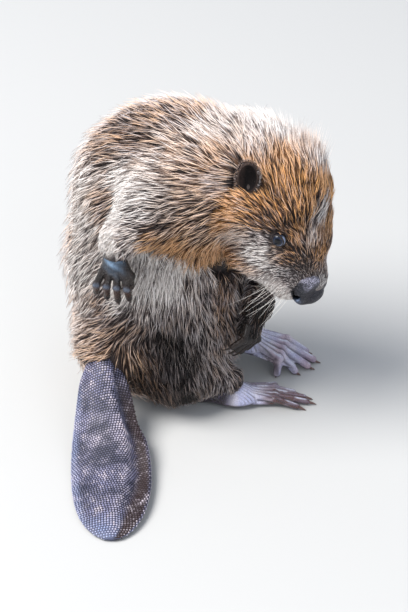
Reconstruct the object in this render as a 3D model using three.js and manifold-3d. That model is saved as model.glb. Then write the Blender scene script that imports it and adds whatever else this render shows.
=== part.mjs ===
// A young beaver, about seven weeks old, sitting up and grooming, as a still life-size model.
// Millimetres, +Z up. The origin is on the floor under the pelvis.
// The trunk faces -Y and +X is its left side.
// The furry body is one smooth field of balls and rods, meshed in regions and parted by thin flat cuts.
// Hands, feet, tail, ears, eyes and nose are solids of their own, let into the body with a small gap.
import * as THREE from "three";
import { mergeVertices } from "three/addons/utils/BufferGeometryUtils.js";
import Module from "manifold-3d";

const wasm = await Module();
wasm.setup();

const V = (x, y, z) => new THREE.Vector3(x, y, z);
const degrees = THREE.MathUtils.degToRad;

// ---------------------------------------------------------------- driving dimensions

const GAP = 0.35; // air between touching pieces
const ROOM = 600; // larger than the whole animal, for the half-space cutters
const CELL = { body: 13.5, head: 10, foot: 5.4, hand: 3 }; // mesh cell of each kind of region
const SOFT = { body: 18, limb: 12, face: 8, foot: 5, hand: 2.9 }; // how far neighbouring forms melt together

// The head has its own axes: forward to the nose tip, right, and dorsal (towards the crown).
const NOSE_TIP = V(-25, -114, 99);
const HEAD = { turn: degrees(30), pitch: degrees(50) };
const EYE = { back: 45, up: 16.5, radius: 5.2 };
const EAR = { back: 88, height: 24, width: 16.5, thick: 7 };
const EARS = { right: { side: 34.5, up: 35, lift: 0.4 }, left: { side: 33, up: 22, lift: 0.05 } };
const NOSE_PAD = { back: 1.5, side: 1.5, up: -1, radii: [6.5, 11, 7.5] };

const TAIL = { width: 52, thick: 7, fold: 11, root: 26 };

// ---------------------------------------------------------------- axes of a part's own

// The three directions and the origin of a head, hand or foot.
function frame(origin, forward, dorsal) {
  const f = forward.clone().normalize();
  const side = new THREE.Vector3().crossVectors(f, dorsal).normalize();
  const up = new THREE.Vector3().crossVectors(side, f);
  return {
    axes: new THREE.Matrix4().makeBasis(f, side, up),
    forward: f,
    side,
    up,
    at: (along, across, above) =>
      origin.clone().addScaledVector(f, along).addScaledVector(side, across).addScaledVector(up, above),
  };
}

const headForward = V(
  -Math.sin(HEAD.turn) * Math.cos(HEAD.pitch),
  -Math.cos(HEAD.turn) * Math.cos(HEAD.pitch),
  -Math.sin(HEAD.pitch),
);
const head = frame(NOSE_TIP, headForward, V(0, 0, 1));
// A point of the head: back from the nose tip, to its right side, and up towards the crown.
const onHead = (back, side, up) => head.at(-back, side, up);

const hands = {
  right: frame(V(-55, 10, 138), V(-0.14, 0.06, -1), V(-1, 0, 0.1)),
  left: frame(V(-9, -76, 77), V(-0.45, 0.32, -1), V(-0.6, -1, -0.3)),
};
const feet = {
  right: { ...frame(V(-25, -13, 0), V(0.18, -1, 0), V(0, 0, 1)), inner: -1, splay: 0.55 },
  left: { ...frame(V(38, -12, 23), V(-0.1, -1, -0.23), V(0, 0, 1)), inner: 1, splay: 0.85 },
};

// ---------------------------------------------------------------- fields

// A ball with three radii along its own axes.
function ball(centre, radii, axes, soft) {
  const turn = new THREE.Matrix3().setFromMatrix4(axes ?? new THREE.Matrix4()).transpose();
  const p = V(0, 0, 0);
  return {
    soft: soft ?? SOFT.body,
    distance(point) {
      p.subVectors(point, centre).applyMatrix3(turn);
      p.set(p.x / radii[0], p.y / radii[1], p.z / radii[2]);
      const k = p.length();
      p.set(p.x / radii[0], p.y / radii[1], p.z / radii[2]);
      return k < 1e-6 ? -Math.min(...radii) : (k * (k - 1)) / p.length();
    },
  };
}

// A rod from a to b whose radius goes from ra to rb.
function rod(a, ra, b, rb, soft) {
  const along = new THREE.Vector3().subVectors(b, a);
  const p = V(0, 0, 0);
  return {
    soft: soft ?? SOFT.limb,
    distance(point) {
      p.subVectors(point, a);
      const t = THREE.MathUtils.clamp(p.dot(along) / along.lengthSq(), 0, 1);
      return p.addScaledVector(along, -t).length() - (ra + (rb - ra) * t);
    },
  };
}

// The signed distance to forms that melt into each other, below zero inside.
const fieldOf = (forms) => (point) => {
  let d = Infinity;
  for (const form of forms) {
    const e = form.distance(point);
    const h = Math.max(form.soft - Math.abs(d - e), 0) / form.soft;
    d = Math.min(d, e) - (h * h * form.soft) / 4;
  }
  return d;
};

const bothSides = (make) => [make(1), make(-1)];

// ---------------------------------------------------------------- the furry body

const headBall = (back, side, up, radii) => ball(onHead(back, side, up), radii, head.axes, SOFT.face);

const trunkForms = [
  ball(V(5, 3, 46), [50, 53, 50]), // pelvis and rump
  ball(V(7, -4, 90), [56, 61, 54]), // belly
  ball(V(8, -28, 48), [42, 38, 42]), // lap, over the shins
  rod(V(6, 12, 96), 46, V(5, 4, 148), 48, SOFT.body), // back
  ball(V(4, -10, 155), [53, 55, 57]), // chest and shoulders
  rod(V(2, -24, 162), 49, V(-4, -60, 172), 42, SOFT.body), // nape
];
const headForms = [
  headBall(71, 0, 15, [35, 39, 36]), // cranium
  headBall(44, 0, 9, [28, 29, 25]), // forehead and bridge
  headBall(20, 0, 0, [21, 18, 15]), // muzzle
  headBall(31, 0, -17, [18, 11, 9]), // lower jaw
  ...bothSides((s) => headBall(22, 12 * s, -7, [17, 13, 12])), // whisker pads
  ...bothSides((s) => headBall(52, 19 * s, -8, [29, 18, 22])), // cheeks
];
const shoulder = { right: V(-24, -34, 160), left: V(32, -42, 142) };
const elbow = { right: V(-46, -6, 160), left: V(34, -60, 98) };
const wrist = { right: hands.right.at(0, 0, 0), left: hands.left.at(0, 0, 0) };
const hip = { right: V(-24, 20, 46), left: V(38, 18, 46) };
const ankle = { right: feet.right.at(44, 0, 17), left: feet.left.at(44, 0, 16) };
const knee = { right: V(-30, -22, 30), left: V(46, -30, 32) };
const limbForms = [
  rod(shoulder.right, 30, elbow.right, 18),
  rod(elbow.right, 17, wrist.right, 8),
  rod(shoulder.left, 27, elbow.left, 15),
  rod(elbow.left, 13, wrist.left, 7),
  rod(hip.right, 30, knee.right, 24),
  rod(hip.left, 32, knee.left, 25),
  rod(knee.right, 20, ankle.right, 11),
  rod(knee.left, 20, ankle.left, 11),
];
const bodyField = fieldOf([...trunkForms, ...headForms, ...limbForms]);

// ---------------------------------------------------------------- hands and feet

// A finger or toe of three rods, from its knuckle over a raised joint to the tip, and its claw.
function digit(at, base, middle, tip, radii, claw, soft) {
  const [a, b, c] = [base, middle, tip].map((p) => at(...p));
  const point = at(tip[0] + claw.length, tip[1], tip[2] - claw.drop);
  return [
    rod(a, radii[0], b, radii[1], soft),
    rod(b, radii[1], c, radii[2], soft),
    rod(c, claw.root, point, claw.tip, soft),
  ];
}

// Five short fingers, the first of them a thumb, on a narrow palm.
const palmForms = (hand) => [
  rod(hand.at(-4, 0, 0), 6.5, hand.at(8, 0, 0), 6, SOFT.hand),
  ball(hand.at(13, 0, 0), [9, 8.5, 4.6], hand.axes, SOFT.hand),
];
function handForms(hand) {
  const forms = palmForms(hand);
  const claw = { length: 4, drop: 2.5, root: 1.9, tip: 1.3 };
  for (let i = 0; i < 4; i++) {
    const spread = i - 1.5;
    const reach = 35 - Math.abs(spread + 0.3) * 2.4;
    const base = [17, spread * 4.2, 0.5];
    const middle = [27, spread * 5.6, 2.5];
    const tip = [reach, spread * 6.6, -1.5];
    forms.push(...digit(hand.at, base, middle, tip, [3.1, 2.9, 2.4], claw, SOFT.hand));
  }
  forms.push(...digit(hand.at, [10, -6, -1], [16, -10, -2], [21, -11, -4], [2.9, 2.7, 2.4], claw, SOFT.hand));
  return forms;
}

// A long webbed foot: heel, instep, five toes that fan out by the foot's splay, and the webs between them.
const TOES = [
  { side: -1.75, reach: 84 },
  { side: -1, reach: 95 },
  { side: 0, reach: 102 },
  { side: 1, reach: 104 },
  { side: 2, reach: 97 },
];
const soleForms = (foot) => [
  ball(foot.at(6, 0, 9), [10, 8, 9.5], foot.axes, SOFT.foot),
  rod(foot.at(8, 0, 9), 8.5, foot.at(42, 0, 9.5), 8, SOFT.foot),
  ball(foot.at(52, 0, 7), [17, 8 + 7 * foot.splay, 7.4], foot.axes, SOFT.foot),
];
function footForms(foot) {
  const forms = soleForms(foot);
  const claw = { length: 7, drop: 0.5, root: 2.3, tip: 1.7 };
  const across = (toe, spread) => -foot.inner * toe.side * spread * foot.splay;
  // A point's place above the sole's own plane that puts it this high over the floor.
  const overFloor = (along, across, height) => (height - foot.at(along, across, 0).z) / foot.up.z;
  for (const toe of TOES) {
    const base = [56, across(toe, 5), 6];
    const middle = [76, across(toe, 7.6), 7];
    const end = [toe.reach - 6, across(toe, 9.8)];
    const tip = [...end, overFloor(...end, 3)];
    forms.push(...digit(foot.at, base, middle, tip, [4.8, 3.8, 2.9], claw, SOFT.foot));
  }
  for (const side of [-1.4, -0.5, 0.5, 1.5]) {
    const between = across({ side }, 7.5);
    forms.push(ball(foot.at(72, between, 4), [20, 5 * foot.splay + 1, 2.4], foot.axes, SOFT.foot));
  }
  return forms;
}

// ---------------------------------------------------------------- meshing a field

// Surface nets: one vertex in each cell that the surface crosses, one quad on each crossed grid edge.
// Each vertex is then moved along the field's slope onto the surface.
function meshField(field, low, high, cell) {
  const n = [0, 1, 2].map((i) => Math.ceil((high.getComponent(i) - low.getComponent(i)) / cell) + 1);
  const at = (i, j, k) => (k * n[1] + j) * n[0] + i;
  const value = new Float64Array(n[0] * n[1] * n[2]);
  const p = V(0, 0, 0);
  for (let k = 0; k < n[2]; k++)
    for (let j = 0; j < n[1]; j++)
      for (let i = 0; i < n[0]; i++) {
        const edge = i === 0 || j === 0 || k === 0 || i === n[0] - 1 || j === n[1] - 1 || k === n[2] - 1;
        p.set(low.x + i * cell, low.y + j * cell, low.z + k * cell);
        value[at(i, j, k)] = edge ? cell : field(p); // the box's walls close the mesh
      }
  const step = [at(1, 0, 0), at(0, 1, 0), at(0, 0, 1)];
  untangle(value, step, cell);
  const corners = [0, 1, 2, 3, 4, 5, 6, 7].map((c) => [c & 1, (c >> 1) & 1, (c >> 2) & 1]);
  const edges = [];
  for (let a = 0; a < 8; a++) for (const bit of [1, 2, 4]) if (!(a & bit)) edges.push([a, a | bit]);
  const vertexOf = new Int32Array(value.length).fill(-1);
  const points = [];
  for (let k = 0; k < n[2] - 1; k++)
    for (let j = 0; j < n[1] - 1; j++)
      for (let i = 0; i < n[0] - 1; i++) {
        const v = corners.map(([a, b, c]) => value[at(i + a, j + b, k + c)]);
        const inside = v.filter((x) => x < 0).length;
        if (inside === 0 || inside === 8) continue;
        const sum = [0, 0, 0];
        let crossings = 0;
        for (const [a, b] of edges) {
          if (v[a] < 0 === v[b] < 0) continue;
          const t = v[a] / (v[a] - v[b]);
          for (let m = 0; m < 3; m++) sum[m] += corners[a][m] + t * (corners[b][m] - corners[a][m]);
          crossings++;
        }
        vertexOf[at(i, j, k)] = points.length;
        const [x, y, z] = sum.map((s) => (s / crossings) * cell);
        const start = V(low.x + i * cell + x, low.y + j * cell + y, low.z + k * cell + z);
        points.push(ontoSurface(field, start, cell));
      }
  const index = [];
  for (let k = 0; k < n[2] - 1; k++)
    for (let j = 0; j < n[1] - 1; j++)
      for (let i = 0; i < n[0] - 1; i++)
        for (let axis = 0; axis < 3; axis++) {
          const a = at(i, j, k);
          const onWall = [i, j, k].some((x, m) => m !== axis && x === 0);
          if (onWall || value[a] < 0 === value[a + step[axis]] < 0) continue;
          const u = step[(axis + 1) % 3];
          const w = step[(axis + 2) % 3];
          const quad = [a - u - w, a - w, a, a - u].map((c) => vertexOf[c]);
          if (value[a] >= 0) quad.reverse();
          const [q0, q1, q2, q3] = quad;
          const first = points[q0].distanceTo(points[q2]) <= points[q1].distanceTo(points[q3]);
          index.push(...(first ? [q0, q1, q2, q0, q2, q3] : [q1, q2, q3, q1, q3, q0]));
        }
  return new THREE.BufferGeometry().setFromPoints(points).setIndex(index);
}

// Where only two opposite corners of a grid face lie inside, a third is taken in with them,
// because four quads would meet on one edge there.
function untangle(value, step, cell) {
  for (let pass = 0; pass < 3; pass++)
    for (let a = 0; a < value.length; a++)
      for (const [u, w] of [[step[0], step[1]], [step[1], step[2]], [step[2], step[0]]]) {
        const face = [a, a + u, a + u + w, a + w];
        if (a + u + w >= value.length) continue;
        const inside = face.map((c) => value[c] < 0);
        if (inside[0] !== inside[2] || inside[1] !== inside[3] || inside[0] === inside[1]) continue;
        const [p, q] = inside[0] ? [face[1], face[3]] : [face[0], face[2]];
        value[value[p] < value[q] ? p : q] = -0.02 * cell;
      }
}

// Two short steps down or up the field's slope, kept inside the point's own cell.
function ontoSurface(field, start, cell) {
  const h = cell * 0.05;
  const point = start.clone();
  for (let pass = 0; pass < 2; pass++) {
    const d = field(point);
    const slope = V(
      field(V(point.x + h, point.y, point.z)) - d,
      field(V(point.x, point.y + h, point.z)) - d,
      field(V(point.x, point.y, point.z + h)) - d,
    ).divideScalar(h);
    point.addScaledVector(slope, -d / Math.max(slope.lengthSq(), 0.25));
  }
  return start.add(point.sub(start).clampLength(0, cell * 0.3));
}

// ---------------------------------------------------------------- solids

function bareMerged(geometry) {
  const bare = geometry.clone();
  bare.deleteAttribute("normal");
  bare.deleteAttribute("uv");
  return mergeVertices(bare, 1e-3);
}

function solidOf(geometry) {
  const merged = bareMerged(geometry);
  return new wasm.Manifold(
    new wasm.Mesh({
      numProp: 3,
      vertProperties: merged.attributes.position.array,
      triVerts: new Uint32Array(merged.index.array),
    }),
  );
}

function geometryOf(solid) {
  const { numProp, vertProperties, triVerts } = solid.getMesh();
  const positions = new Float32Array((vertProperties.length / numProp) * 3);
  for (let i = 0; i < positions.length / 3; i++)
    positions.set(vertProperties.subarray(i * numProp, i * numProp + 3), i * 3);
  return new THREE.BufferGeometry()
    .setAttribute("position", new THREE.BufferAttribute(positions, 3))
    .setIndex(new THREE.BufferAttribute(triVerts, 1));
}

// The same shape with every vertex moved outwards, to cut the room that a let-in piece needs.
function swollen(geometry, by = GAP) {
  const grown = bareMerged(geometry);
  grown.computeVertexNormals();
  const { position, normal } = grown.attributes;
  for (let i = 0; i < position.count; i++)
    position.setXYZ(
      i,
      position.getX(i) + by * normal.getX(i),
      position.getY(i) + by * normal.getY(i),
      position.getZ(i) + by * normal.getZ(i),
    );
  return solidOf(grown);
}

// All that lies on the side of a plane that its normal points to, as a large block.
function beyond(point, normal) {
  const block = new THREE.BoxGeometry(ROOM, ROOM, ROOM);
  const n = normal.clone().normalize();
  block.applyQuaternion(new THREE.Quaternion().setFromUnitVectors(V(0, 0, 1), n));
  const centre = point.clone().addScaledVector(n, ROOM / 2);
  block.translate(centre.x, centre.y, centre.z);
  return solidOf(block);
}
const aboveFloor = beyond(V(0, 0, 0), V(0, 0, 1));

// A shape put in place by a matrix, with its faces turned round where the matrix mirrors it.
function placed(geometry, matrix) {
  if (matrix.determinant() < 0) geometry.setIndex([...geometry.index.array].reverse());
  return geometry.applyMatrix4(matrix);
}

// A block between two corners of a part's own axes, or of the model's where none are given.
function block(low, high, at = V, grow = 0) {
  const corners = [low, high].map((c, i) => c.map((x) => x + (i ? grow : -grow)));
  const size = corners[1].map((x, i) => x - corners[0][i]);
  const middle = corners[1].map((x, i) => (x + corners[0][i]) / 2);
  const box = new THREE.BoxGeometry(...size);
  const origin = at(0, 0, 0);
  const basis = [at(1, 0, 0), at(0, 1, 0), at(0, 0, 1)].map((p) => p.sub(origin));
  return solidOf(placed(box, new THREE.Matrix4().makeBasis(...basis).setPosition(at(...middle))));
}

// ---------------------------------------------------------------- tail, ears, eyes and nose

// A closed surface over rings of points, with a pole at each end.
function loft(rings, first, last) {
  const sides = rings[0].length;
  const points = [first, ...rings.flat(), last];
  const index = [];
  const at = (ring, side) => 1 + ring * sides + (side % sides);
  for (let s = 0; s < sides; s++) {
    index.push(0, at(0, s + 1), at(0, s));
    for (let r = 0; r < rings.length - 1; r++) {
      index.push(at(r, s), at(r, s + 1), at(r + 1, s + 1));
      index.push(at(r, s), at(r + 1, s + 1), at(r + 1, s));
    }
    index.push(at(rings.length - 1, s), at(rings.length - 1, s + 1), points.length - 1);
  }
  return new THREE.BufferGeometry().setFromPoints(points).setIndex(index);
}

const tailPath = new THREE.CatmullRomCurve3([
  V(-12, 25, 36),
  V(-36, 23, 36),
  V(-57, 19, 27),
  V(-80, 13, 9),
  V(-112, 4, 0.8),
  V(-146, -4, 0.3),
  V(-172, -10, 0.3),
]);

function tailSolid() {
  const rings = [];
  const count = 15;
  const sides = 14;
  for (let r = 0; r < count; r++) {
    const t = r / (count - 0.6);
    const centre = tailPath.getPointAt(t);
    const ahead = tailPath.getTangentAt(t).setZ(0).normalize();
    const across = V(-ahead.y, ahead.x, 0);
    const half = tailWidthAt(t);
    const flat = THREE.MathUtils.smoothstep(t, 0, 0.42);
    const thick = THREE.MathUtils.lerp(TAIL.root * 0.8, TAIL.thick, flat) * (1 - 0.5 * t);
    const ring = [];
    for (let s = 0; s < sides; s++) {
      const angle = (2 * Math.PI * s) / sides;
      const u = Math.cos(angle);
      const v = Math.sin(angle);
      const lift = tailFold(t, u) + (thick / 2) * v * (1 - 0.45 * u * u) + thick / 2;
      ring.push(centre.clone().addScaledVector(across, u * half).add(V(0, 0, lift)));
    }
    rings.push(ring);
  }
  const lift = (t) => tailPath.getPointAt(t).add(V(0, 0, 2));
  return loft(rings, tailPath.getPointAt(0).add(V(0, 0, TAIL.root * 0.4)), lift(1));
}

// The blade's height over its edges: it climbs to a crest, drops steeply and curls up at the other edge.
function tailFold(t, u) {
  const { clamp, smoothstep } = THREE.MathUtils;
  const crest = 0.12 + 0.42 * smoothstep(t, 0.2, 0.5) - 0.36 * smoothstep(t, 0.66, 0.95);
  const low = 0.2 + 0.3 * smoothstep(t, 0.75, 1);
  const height = TAIL.fold * Math.sin(Math.PI * Math.min(1, 0.9 * t + 0.1)) * smoothstep(t, 0, 0.42);
  if (u < crest) return height * Math.pow(Math.sin((Math.PI / 2) * clamp((u + 1) / (crest + 1), 0, 1)), 0.9);
  const curl = 0.35 * smoothstep(u, crest + 0.25, 1) * smoothstep(t, 0.4, 0.62);
  return height * (1 - (1 - low) * smoothstep(u, crest, crest + 0.3) + curl);
}

// The tail's half width: a short round stem that swells into an oval paddle.
function tailWidthAt(t) {
  const paddle = Math.sqrt(Math.max(0, 1 - Math.pow(Math.abs((t - 0.64) / 0.36), 2.4)));
  const stem = THREE.MathUtils.smoothstep(t, 0.0, 0.64);
  const half = THREE.MathUtils.lerp(TAIL.root, TAIL.width, stem) / 2;
  return t < 0.64 ? half : (TAIL.width / 2) * paddle;
}

// ---------------------------------------------------------------- the model

const materials = {
  coat: new THREE.MeshStandardMaterial({ color: 0x8a6242, roughness: 0.9 }),
  bareSkin: new THREE.MeshStandardMaterial({ color: 0x4a3a38, roughness: 0.5 }),
  footSkin: new THREE.MeshStandardMaterial({ color: 0x9a8084, roughness: 0.4 }),
  tailScales: new THREE.MeshStandardMaterial({ color: 0x4a4650, roughness: 0.5 }),
  earSkin: new THREE.MeshStandardMaterial({ color: 0x2b2320, roughness: 0.8 }),
  eye: new THREE.MeshStandardMaterial({ color: 0x14161a, roughness: 0.08 }),
};
const group = new THREE.Group();
function addNode(name, solid, material) {
  const [whole] = solid.decompose().sort((a, b) => b.volume() - a.volume());
  const mesh = new THREE.Mesh(geometryOf(whole), material);
  mesh.name = name;
  group.add(mesh);
}

// A foot or hand meshed inside a box round its middle, and the rounder room cut for it in the fur.
function limbEnd(forms, middle, reach, cell) {
  const boxed = (field, size) =>
    meshField(field, middle.clone().subScalar(reach), middle.clone().addScalar(reach), size);
  const rounder = fieldOf(forms);
  return { mesh: boxed(fieldOf(forms), cell), room: boxed((p) => rounder(p) - 2.6, cell * 1.6) };
}
const footEnds = {
  right: limbEnd(footForms(feet.right), feet.right.at(52, 0, 0), 72, CELL.foot),
  left: limbEnd(footForms(feet.left), feet.left.at(52, 0, 0), 72, CELL.foot),
};
const handEnds = {
  right: limbEnd(handForms(hands.right), hands.right.at(16, 0, 0), 34, CELL.hand),
  left: limbEnd(handForms(hands.left), hands.left.at(16, 0, 0), 34, CELL.hand),
};
const tailMesh = tailSolid();


// ---------------------------------------------------------------- small solids of the head

// Where a line from inside the body comes out of its surface.
function onBody(from, towards) {
  const step = towards.clone().normalize().multiplyScalar(0.25);
  const p = from.clone();
  while (bodyField(p) < 0) p.add(step);
  return p;
}

// A ball with its own radii, set in the head's axes.
function headSolid(centre, radii, rows, columns) {
  const geometry = new THREE.SphereGeometry(1, columns, rows).scale(...radii);
  return placed(geometry, head.axes.clone().setPosition(centre));
}

const eyeMeshes = bothSides((s) => {
  const out = head.side.clone().multiplyScalar(s).addScaledVector(head.up, 0.35);
  const lid = onBody(onHead(EYE.back, 8 * s, EYE.up), out);
  const centre = lid.addScaledVector(out.normalize(), -EYE.radius * 0.62);
  return headSolid(centre, Array(3).fill(EYE.radius), 8, 10);
});
const nosePad = headSolid(onHead(NOSE_PAD.back, NOSE_PAD.side, NOSE_PAD.up), NOSE_PAD.radii, 7, 12);

// A short oval ear that points back and outwards, hollowed on its outer face.
function earMesh(s) {
  const { side, up, lift } = s > 0 ? EARS.right : EARS.left;
  const centre = onHead(EAR.back, side * s, up);
  const inHead = (forward, side, up) => onHead(-forward, side * s, up).sub(onHead(0, 0, 0));
  const ear = frame(centre, inHead(0.4, 0.75, 0.4), inHead(-0.7, lift, lift + 0.1));
  const whole = new THREE.SphereGeometry(1, 9, 7).scale(EAR.thick / 2, EAR.width / 2, EAR.height / 2);
  return { mesh: placed(whole, ear.axes.clone().setPosition(centre)), ear };
}
function earSolid({ mesh, ear }) {
  const depth = EAR.thick * 0.42;
  const hollow = new THREE.SphereGeometry(1, 8, 6).scale(depth, EAR.width * 0.36, EAR.height * 0.38);
  const dish = placed(hollow, ear.axes.clone().setPosition(ear.at(depth, 0, 1)));
  return solidOf(mesh).subtract(solidOf(dish));
}
const ears = bothSides(earMesh);

// ---------------------------------------------------------------- the pieces

const letIn = [
  ...[tailMesh, nosePad, ...eyeMeshes, ...ears.map((e) => e.mesh)].map((m) => swollen(m)),
  ...[footEnds.right, footEnds.left, handEnds.right, handEnds.left].map((end) => solidOf(end.room)),
];
const withRoom = (solid) => letIn.reduce((s, piece) => s.subtract(piece), solid.intersect(aboveFloor));

// Head box in the head's axes: from the nose back to the neck, above the throat.
const headBox = [[-94, -60, -32], [40, 60, 70]];
const neckBox = [[-116, -62, -26], [-94, 62, 70]];
const fineBody = solidOf(meshField(bodyField, V(-66, -146, 70), V(70, -20, 232), CELL.head));
addNode("head", withRoom(fineBody.intersect(block(...headBox, head.at))), materials.coat);

let rest = withRoom(solidOf(meshField(bodyField, V(-82, -150, -14), V(100, 82, 244), CELL.body)));
rest = rest.subtract(block(...headBox, head.at, GAP));
function take(name, low, high, at) {
  addNode(name, rest.intersect(block(low, high, at)), materials.coat);
  rest = rest.subtract(block(low, high, at, GAP));
}
take("neck", ...neckBox, head.at);
take("arm_left", [-18, -130, 60], [90, -57, 150]);
take("arm_right", [-90, -62, 128], [-34, 34, 192]);
take("chest", [-100, -130, 112], [110, 100, 250]);
take("thigh_right", [-90, -80, 0], [-16, 42, 62]);
take("thigh_left", [32, -80, 0], [110, 42, 64]);
addNode("belly", rest, materials.coat);

addNode("nose", solidOf(nosePad), materials.bareSkin);
["right", "left"].forEach((side, i) => {
  addNode(`eye_${side}`, solidOf(eyeMeshes[i]), materials.eye);
  addNode(`ear_${side}`, earSolid(ears[i]), materials.earSkin);
  addNode(`hand_${side}`, solidOf(handEnds[side].mesh), materials.bareSkin);
  addNode(`foot_${side}`, solidOf(footEnds[side].mesh).intersect(aboveFloor), materials.footSkin);
});
addNode("tail", solidOf(tailMesh).intersect(aboveFloor), materials.tailScales);

export default group;
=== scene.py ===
"""A young beaver, about seven weeks old, sitting up and grooming, as a life-size museum model.

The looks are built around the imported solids. One skin, drawn from the same smooth field of balls and rods
as the solids, lies inside them by the coat's depth, and the coat is made of thin solid hairs along it.
Shapes are worked out in millimetres and become metres when a mesh is made.
"""

import math

import bpy
import numpy as np
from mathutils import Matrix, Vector


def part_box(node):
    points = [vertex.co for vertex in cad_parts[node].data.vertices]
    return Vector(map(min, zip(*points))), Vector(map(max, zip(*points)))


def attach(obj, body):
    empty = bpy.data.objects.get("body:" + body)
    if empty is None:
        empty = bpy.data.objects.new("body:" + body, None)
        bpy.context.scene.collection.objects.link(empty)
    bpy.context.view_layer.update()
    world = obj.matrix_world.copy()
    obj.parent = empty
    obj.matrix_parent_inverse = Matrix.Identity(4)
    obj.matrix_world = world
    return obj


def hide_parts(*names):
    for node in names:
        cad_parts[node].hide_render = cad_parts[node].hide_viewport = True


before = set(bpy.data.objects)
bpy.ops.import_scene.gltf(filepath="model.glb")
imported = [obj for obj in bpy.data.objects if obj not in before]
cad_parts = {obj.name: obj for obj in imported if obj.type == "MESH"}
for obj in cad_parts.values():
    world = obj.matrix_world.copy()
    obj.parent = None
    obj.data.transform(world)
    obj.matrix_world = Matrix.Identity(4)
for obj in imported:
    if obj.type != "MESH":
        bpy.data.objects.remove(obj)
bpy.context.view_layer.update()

MM = 0.001
random = np.random.default_rng(20)


# ---------------------------------------------------------------- small helpers


def unit(v):
    """The vectors at unit length."""
    v = np.asarray(v, float)
    return v / np.maximum(np.linalg.norm(v, axis=-1, keepdims=True), 1e-9)


def smooth(x, low=0.0, high=1.0):
    """A soft step from 0 at low to 1 at high."""
    t = np.clip((np.asarray(x, float) - low) / (high - low), 0, 1)
    return t * t * (3 - 2 * t)


def flat_against(vectors, normals):
    """The vectors without their part along the normals, at unit length."""
    return unit(vectors - np.sum(vectors * normals, -1, keepdims=True) * normals)


class Axes:
    """An origin with forward, side and up directions of its own, as a head, a hand or a foot has."""

    def __init__(self, origin, forward, up):
        self.origin = np.array(origin, float)
        self.forward = unit(forward)
        self.side = unit(np.cross(self.forward, up))
        self.up = np.cross(self.side, self.forward)
        self.turn = np.stack([self.forward, self.side, self.up])

    def at(self, along, across=0.0, above=0.0):
        return self.origin + along * self.forward + across * self.side + above * self.up

    def way(self, along, across, above):
        return along * self.forward + across * self.side + above * self.up

    def inside(self, points):
        """The points in these axes: along, across and above."""
        return (np.asarray(points, float) - self.origin) @ self.turn.T


WORLD = Axes((0, 0, 0), (1, 0, 0), (0, 0, 1))


# ---------------------------------------------------------------- driving places, as in the solids

HEAD_TURN, HEAD_PITCH = math.radians(30), math.radians(50)
head = Axes(
    (-25, -114, 99),
    (
        -math.sin(HEAD_TURN) * math.cos(HEAD_PITCH),
        -math.cos(HEAD_TURN) * math.cos(HEAD_PITCH),
        -math.sin(HEAD_PITCH),
    ),
    (0, 0, 1),
)
hands = {
    "right": Axes((-55, 10, 138), (-0.14, 0.06, -1), (-1, 0, 0.1)),
    "left": Axes((-9, -76, 77), (-0.45, 0.32, -1), (-0.6, -1, -0.3)),
}
feet = {
    "right": Axes((-25, -13, 0), (0.18, -1, 0), (0, 0, 1)),
    "left": Axes((38, -12, 23), (-0.1, -1, -0.23), (0, 0, 1)),
}
SPLAY = {"right": 0.55, "left": 0.85}
INNER = {"right": -1, "left": 1}
SIDES = {"right": 1, "left": -1}  # across the head


def on_head(back, side, up):
    return head.at(-back, side, up)


def node_centre(name):
    low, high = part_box(name)
    return (np.array(low) + np.array(high)) / 2 / MM


eyes = {side: node_centre("eye_" + side) for side in SIDES}
EYE_RADIUS = 5.2
EYE_SUNK = {"right": 0, "left": 1.6}

EAR_SIZE = (7, 13.8, 23.4)  # thick, wide and high
EAR_BACK = 88
# across the head, up, the way that the ear rises, and how far it is drawn in along that way
EAR_PLACES = {
    "right": (34.5, 35, (-0.7, 0.12, 0.8), 0),
    "left": (33, 22, (-0.7, -0.05, 0.15), 5.5),
}
NOSE_SIDE = 1.5  # the nose pad is turned a little to the animal's right
NOSE_TOP, NOSE_TOP_RADII = (10.0, 5.0, 6.4), (6.6, 9.6, 6.8)  # the bare skin behind the pad


def eye_axes(side):
    """An eye looks outwards, a little forwards and up."""
    gaze = unit(head.way(0.18, SIDES[side], 0.38))
    return Axes(eyes[side] - EYE_SUNK[side] * gaze, gaze, head.up)


def ear_axes(side):
    s = SIDES[side]
    across, up, way, sunk = EAR_PLACES[side]
    facing, rise = head.way(0.4, 0.75 * s, 0.4), head.way(*way)
    place = on_head(EAR_BACK, across * s, up)
    return Axes(place - sunk * unit(rise), facing, rise)


# ---------------------------------------------------------------- fields of distance


def ball(centre, radii, axes=WORLD, soft=18.0):
    centre, radii = np.asarray(centre, float), np.asarray(radii, float)

    def distance(points):
        p = ((points - centre) @ axes.turn.T) / radii
        k = np.linalg.norm(p, axis=-1)
        return k * (k - 1) / np.maximum(np.linalg.norm(p / radii, axis=-1), 1e-9)

    return distance, soft


def rod(a, radius_a, b, radius_b, soft=12.0):
    a, b = np.asarray(a, float), np.asarray(b, float)
    along = b - a

    def distance(points):
        p = points - a
        t = np.clip(p @ along / (along @ along), 0, 1)
        return np.linalg.norm(p - t[..., None] * along, axis=-1) - (radius_a + (radius_b - radius_a) * t)

    return distance, soft


def field_of(forms, carved=()):
    """The distance to forms that melt into each other, with the carved ones taken out of them."""

    def field(points):
        d = np.full(len(points), 1e3)
        for distance, soft in forms:
            e = distance(points)
            h = np.maximum(soft - np.abs(d - e), 0) / soft
            d = np.minimum(d, e) - h * h * soft / 4
        for distance, soft in carved:
            e = -distance(points)
            h = np.maximum(soft - np.abs(d - e), 0) / soft
            d = np.maximum(d, e) + h * h * soft / 4
        return d

    return field


def head_ball(back, side, up, radii, soft=8.0):
    return ball(on_head(back, side, up), radii, head, soft)


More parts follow.
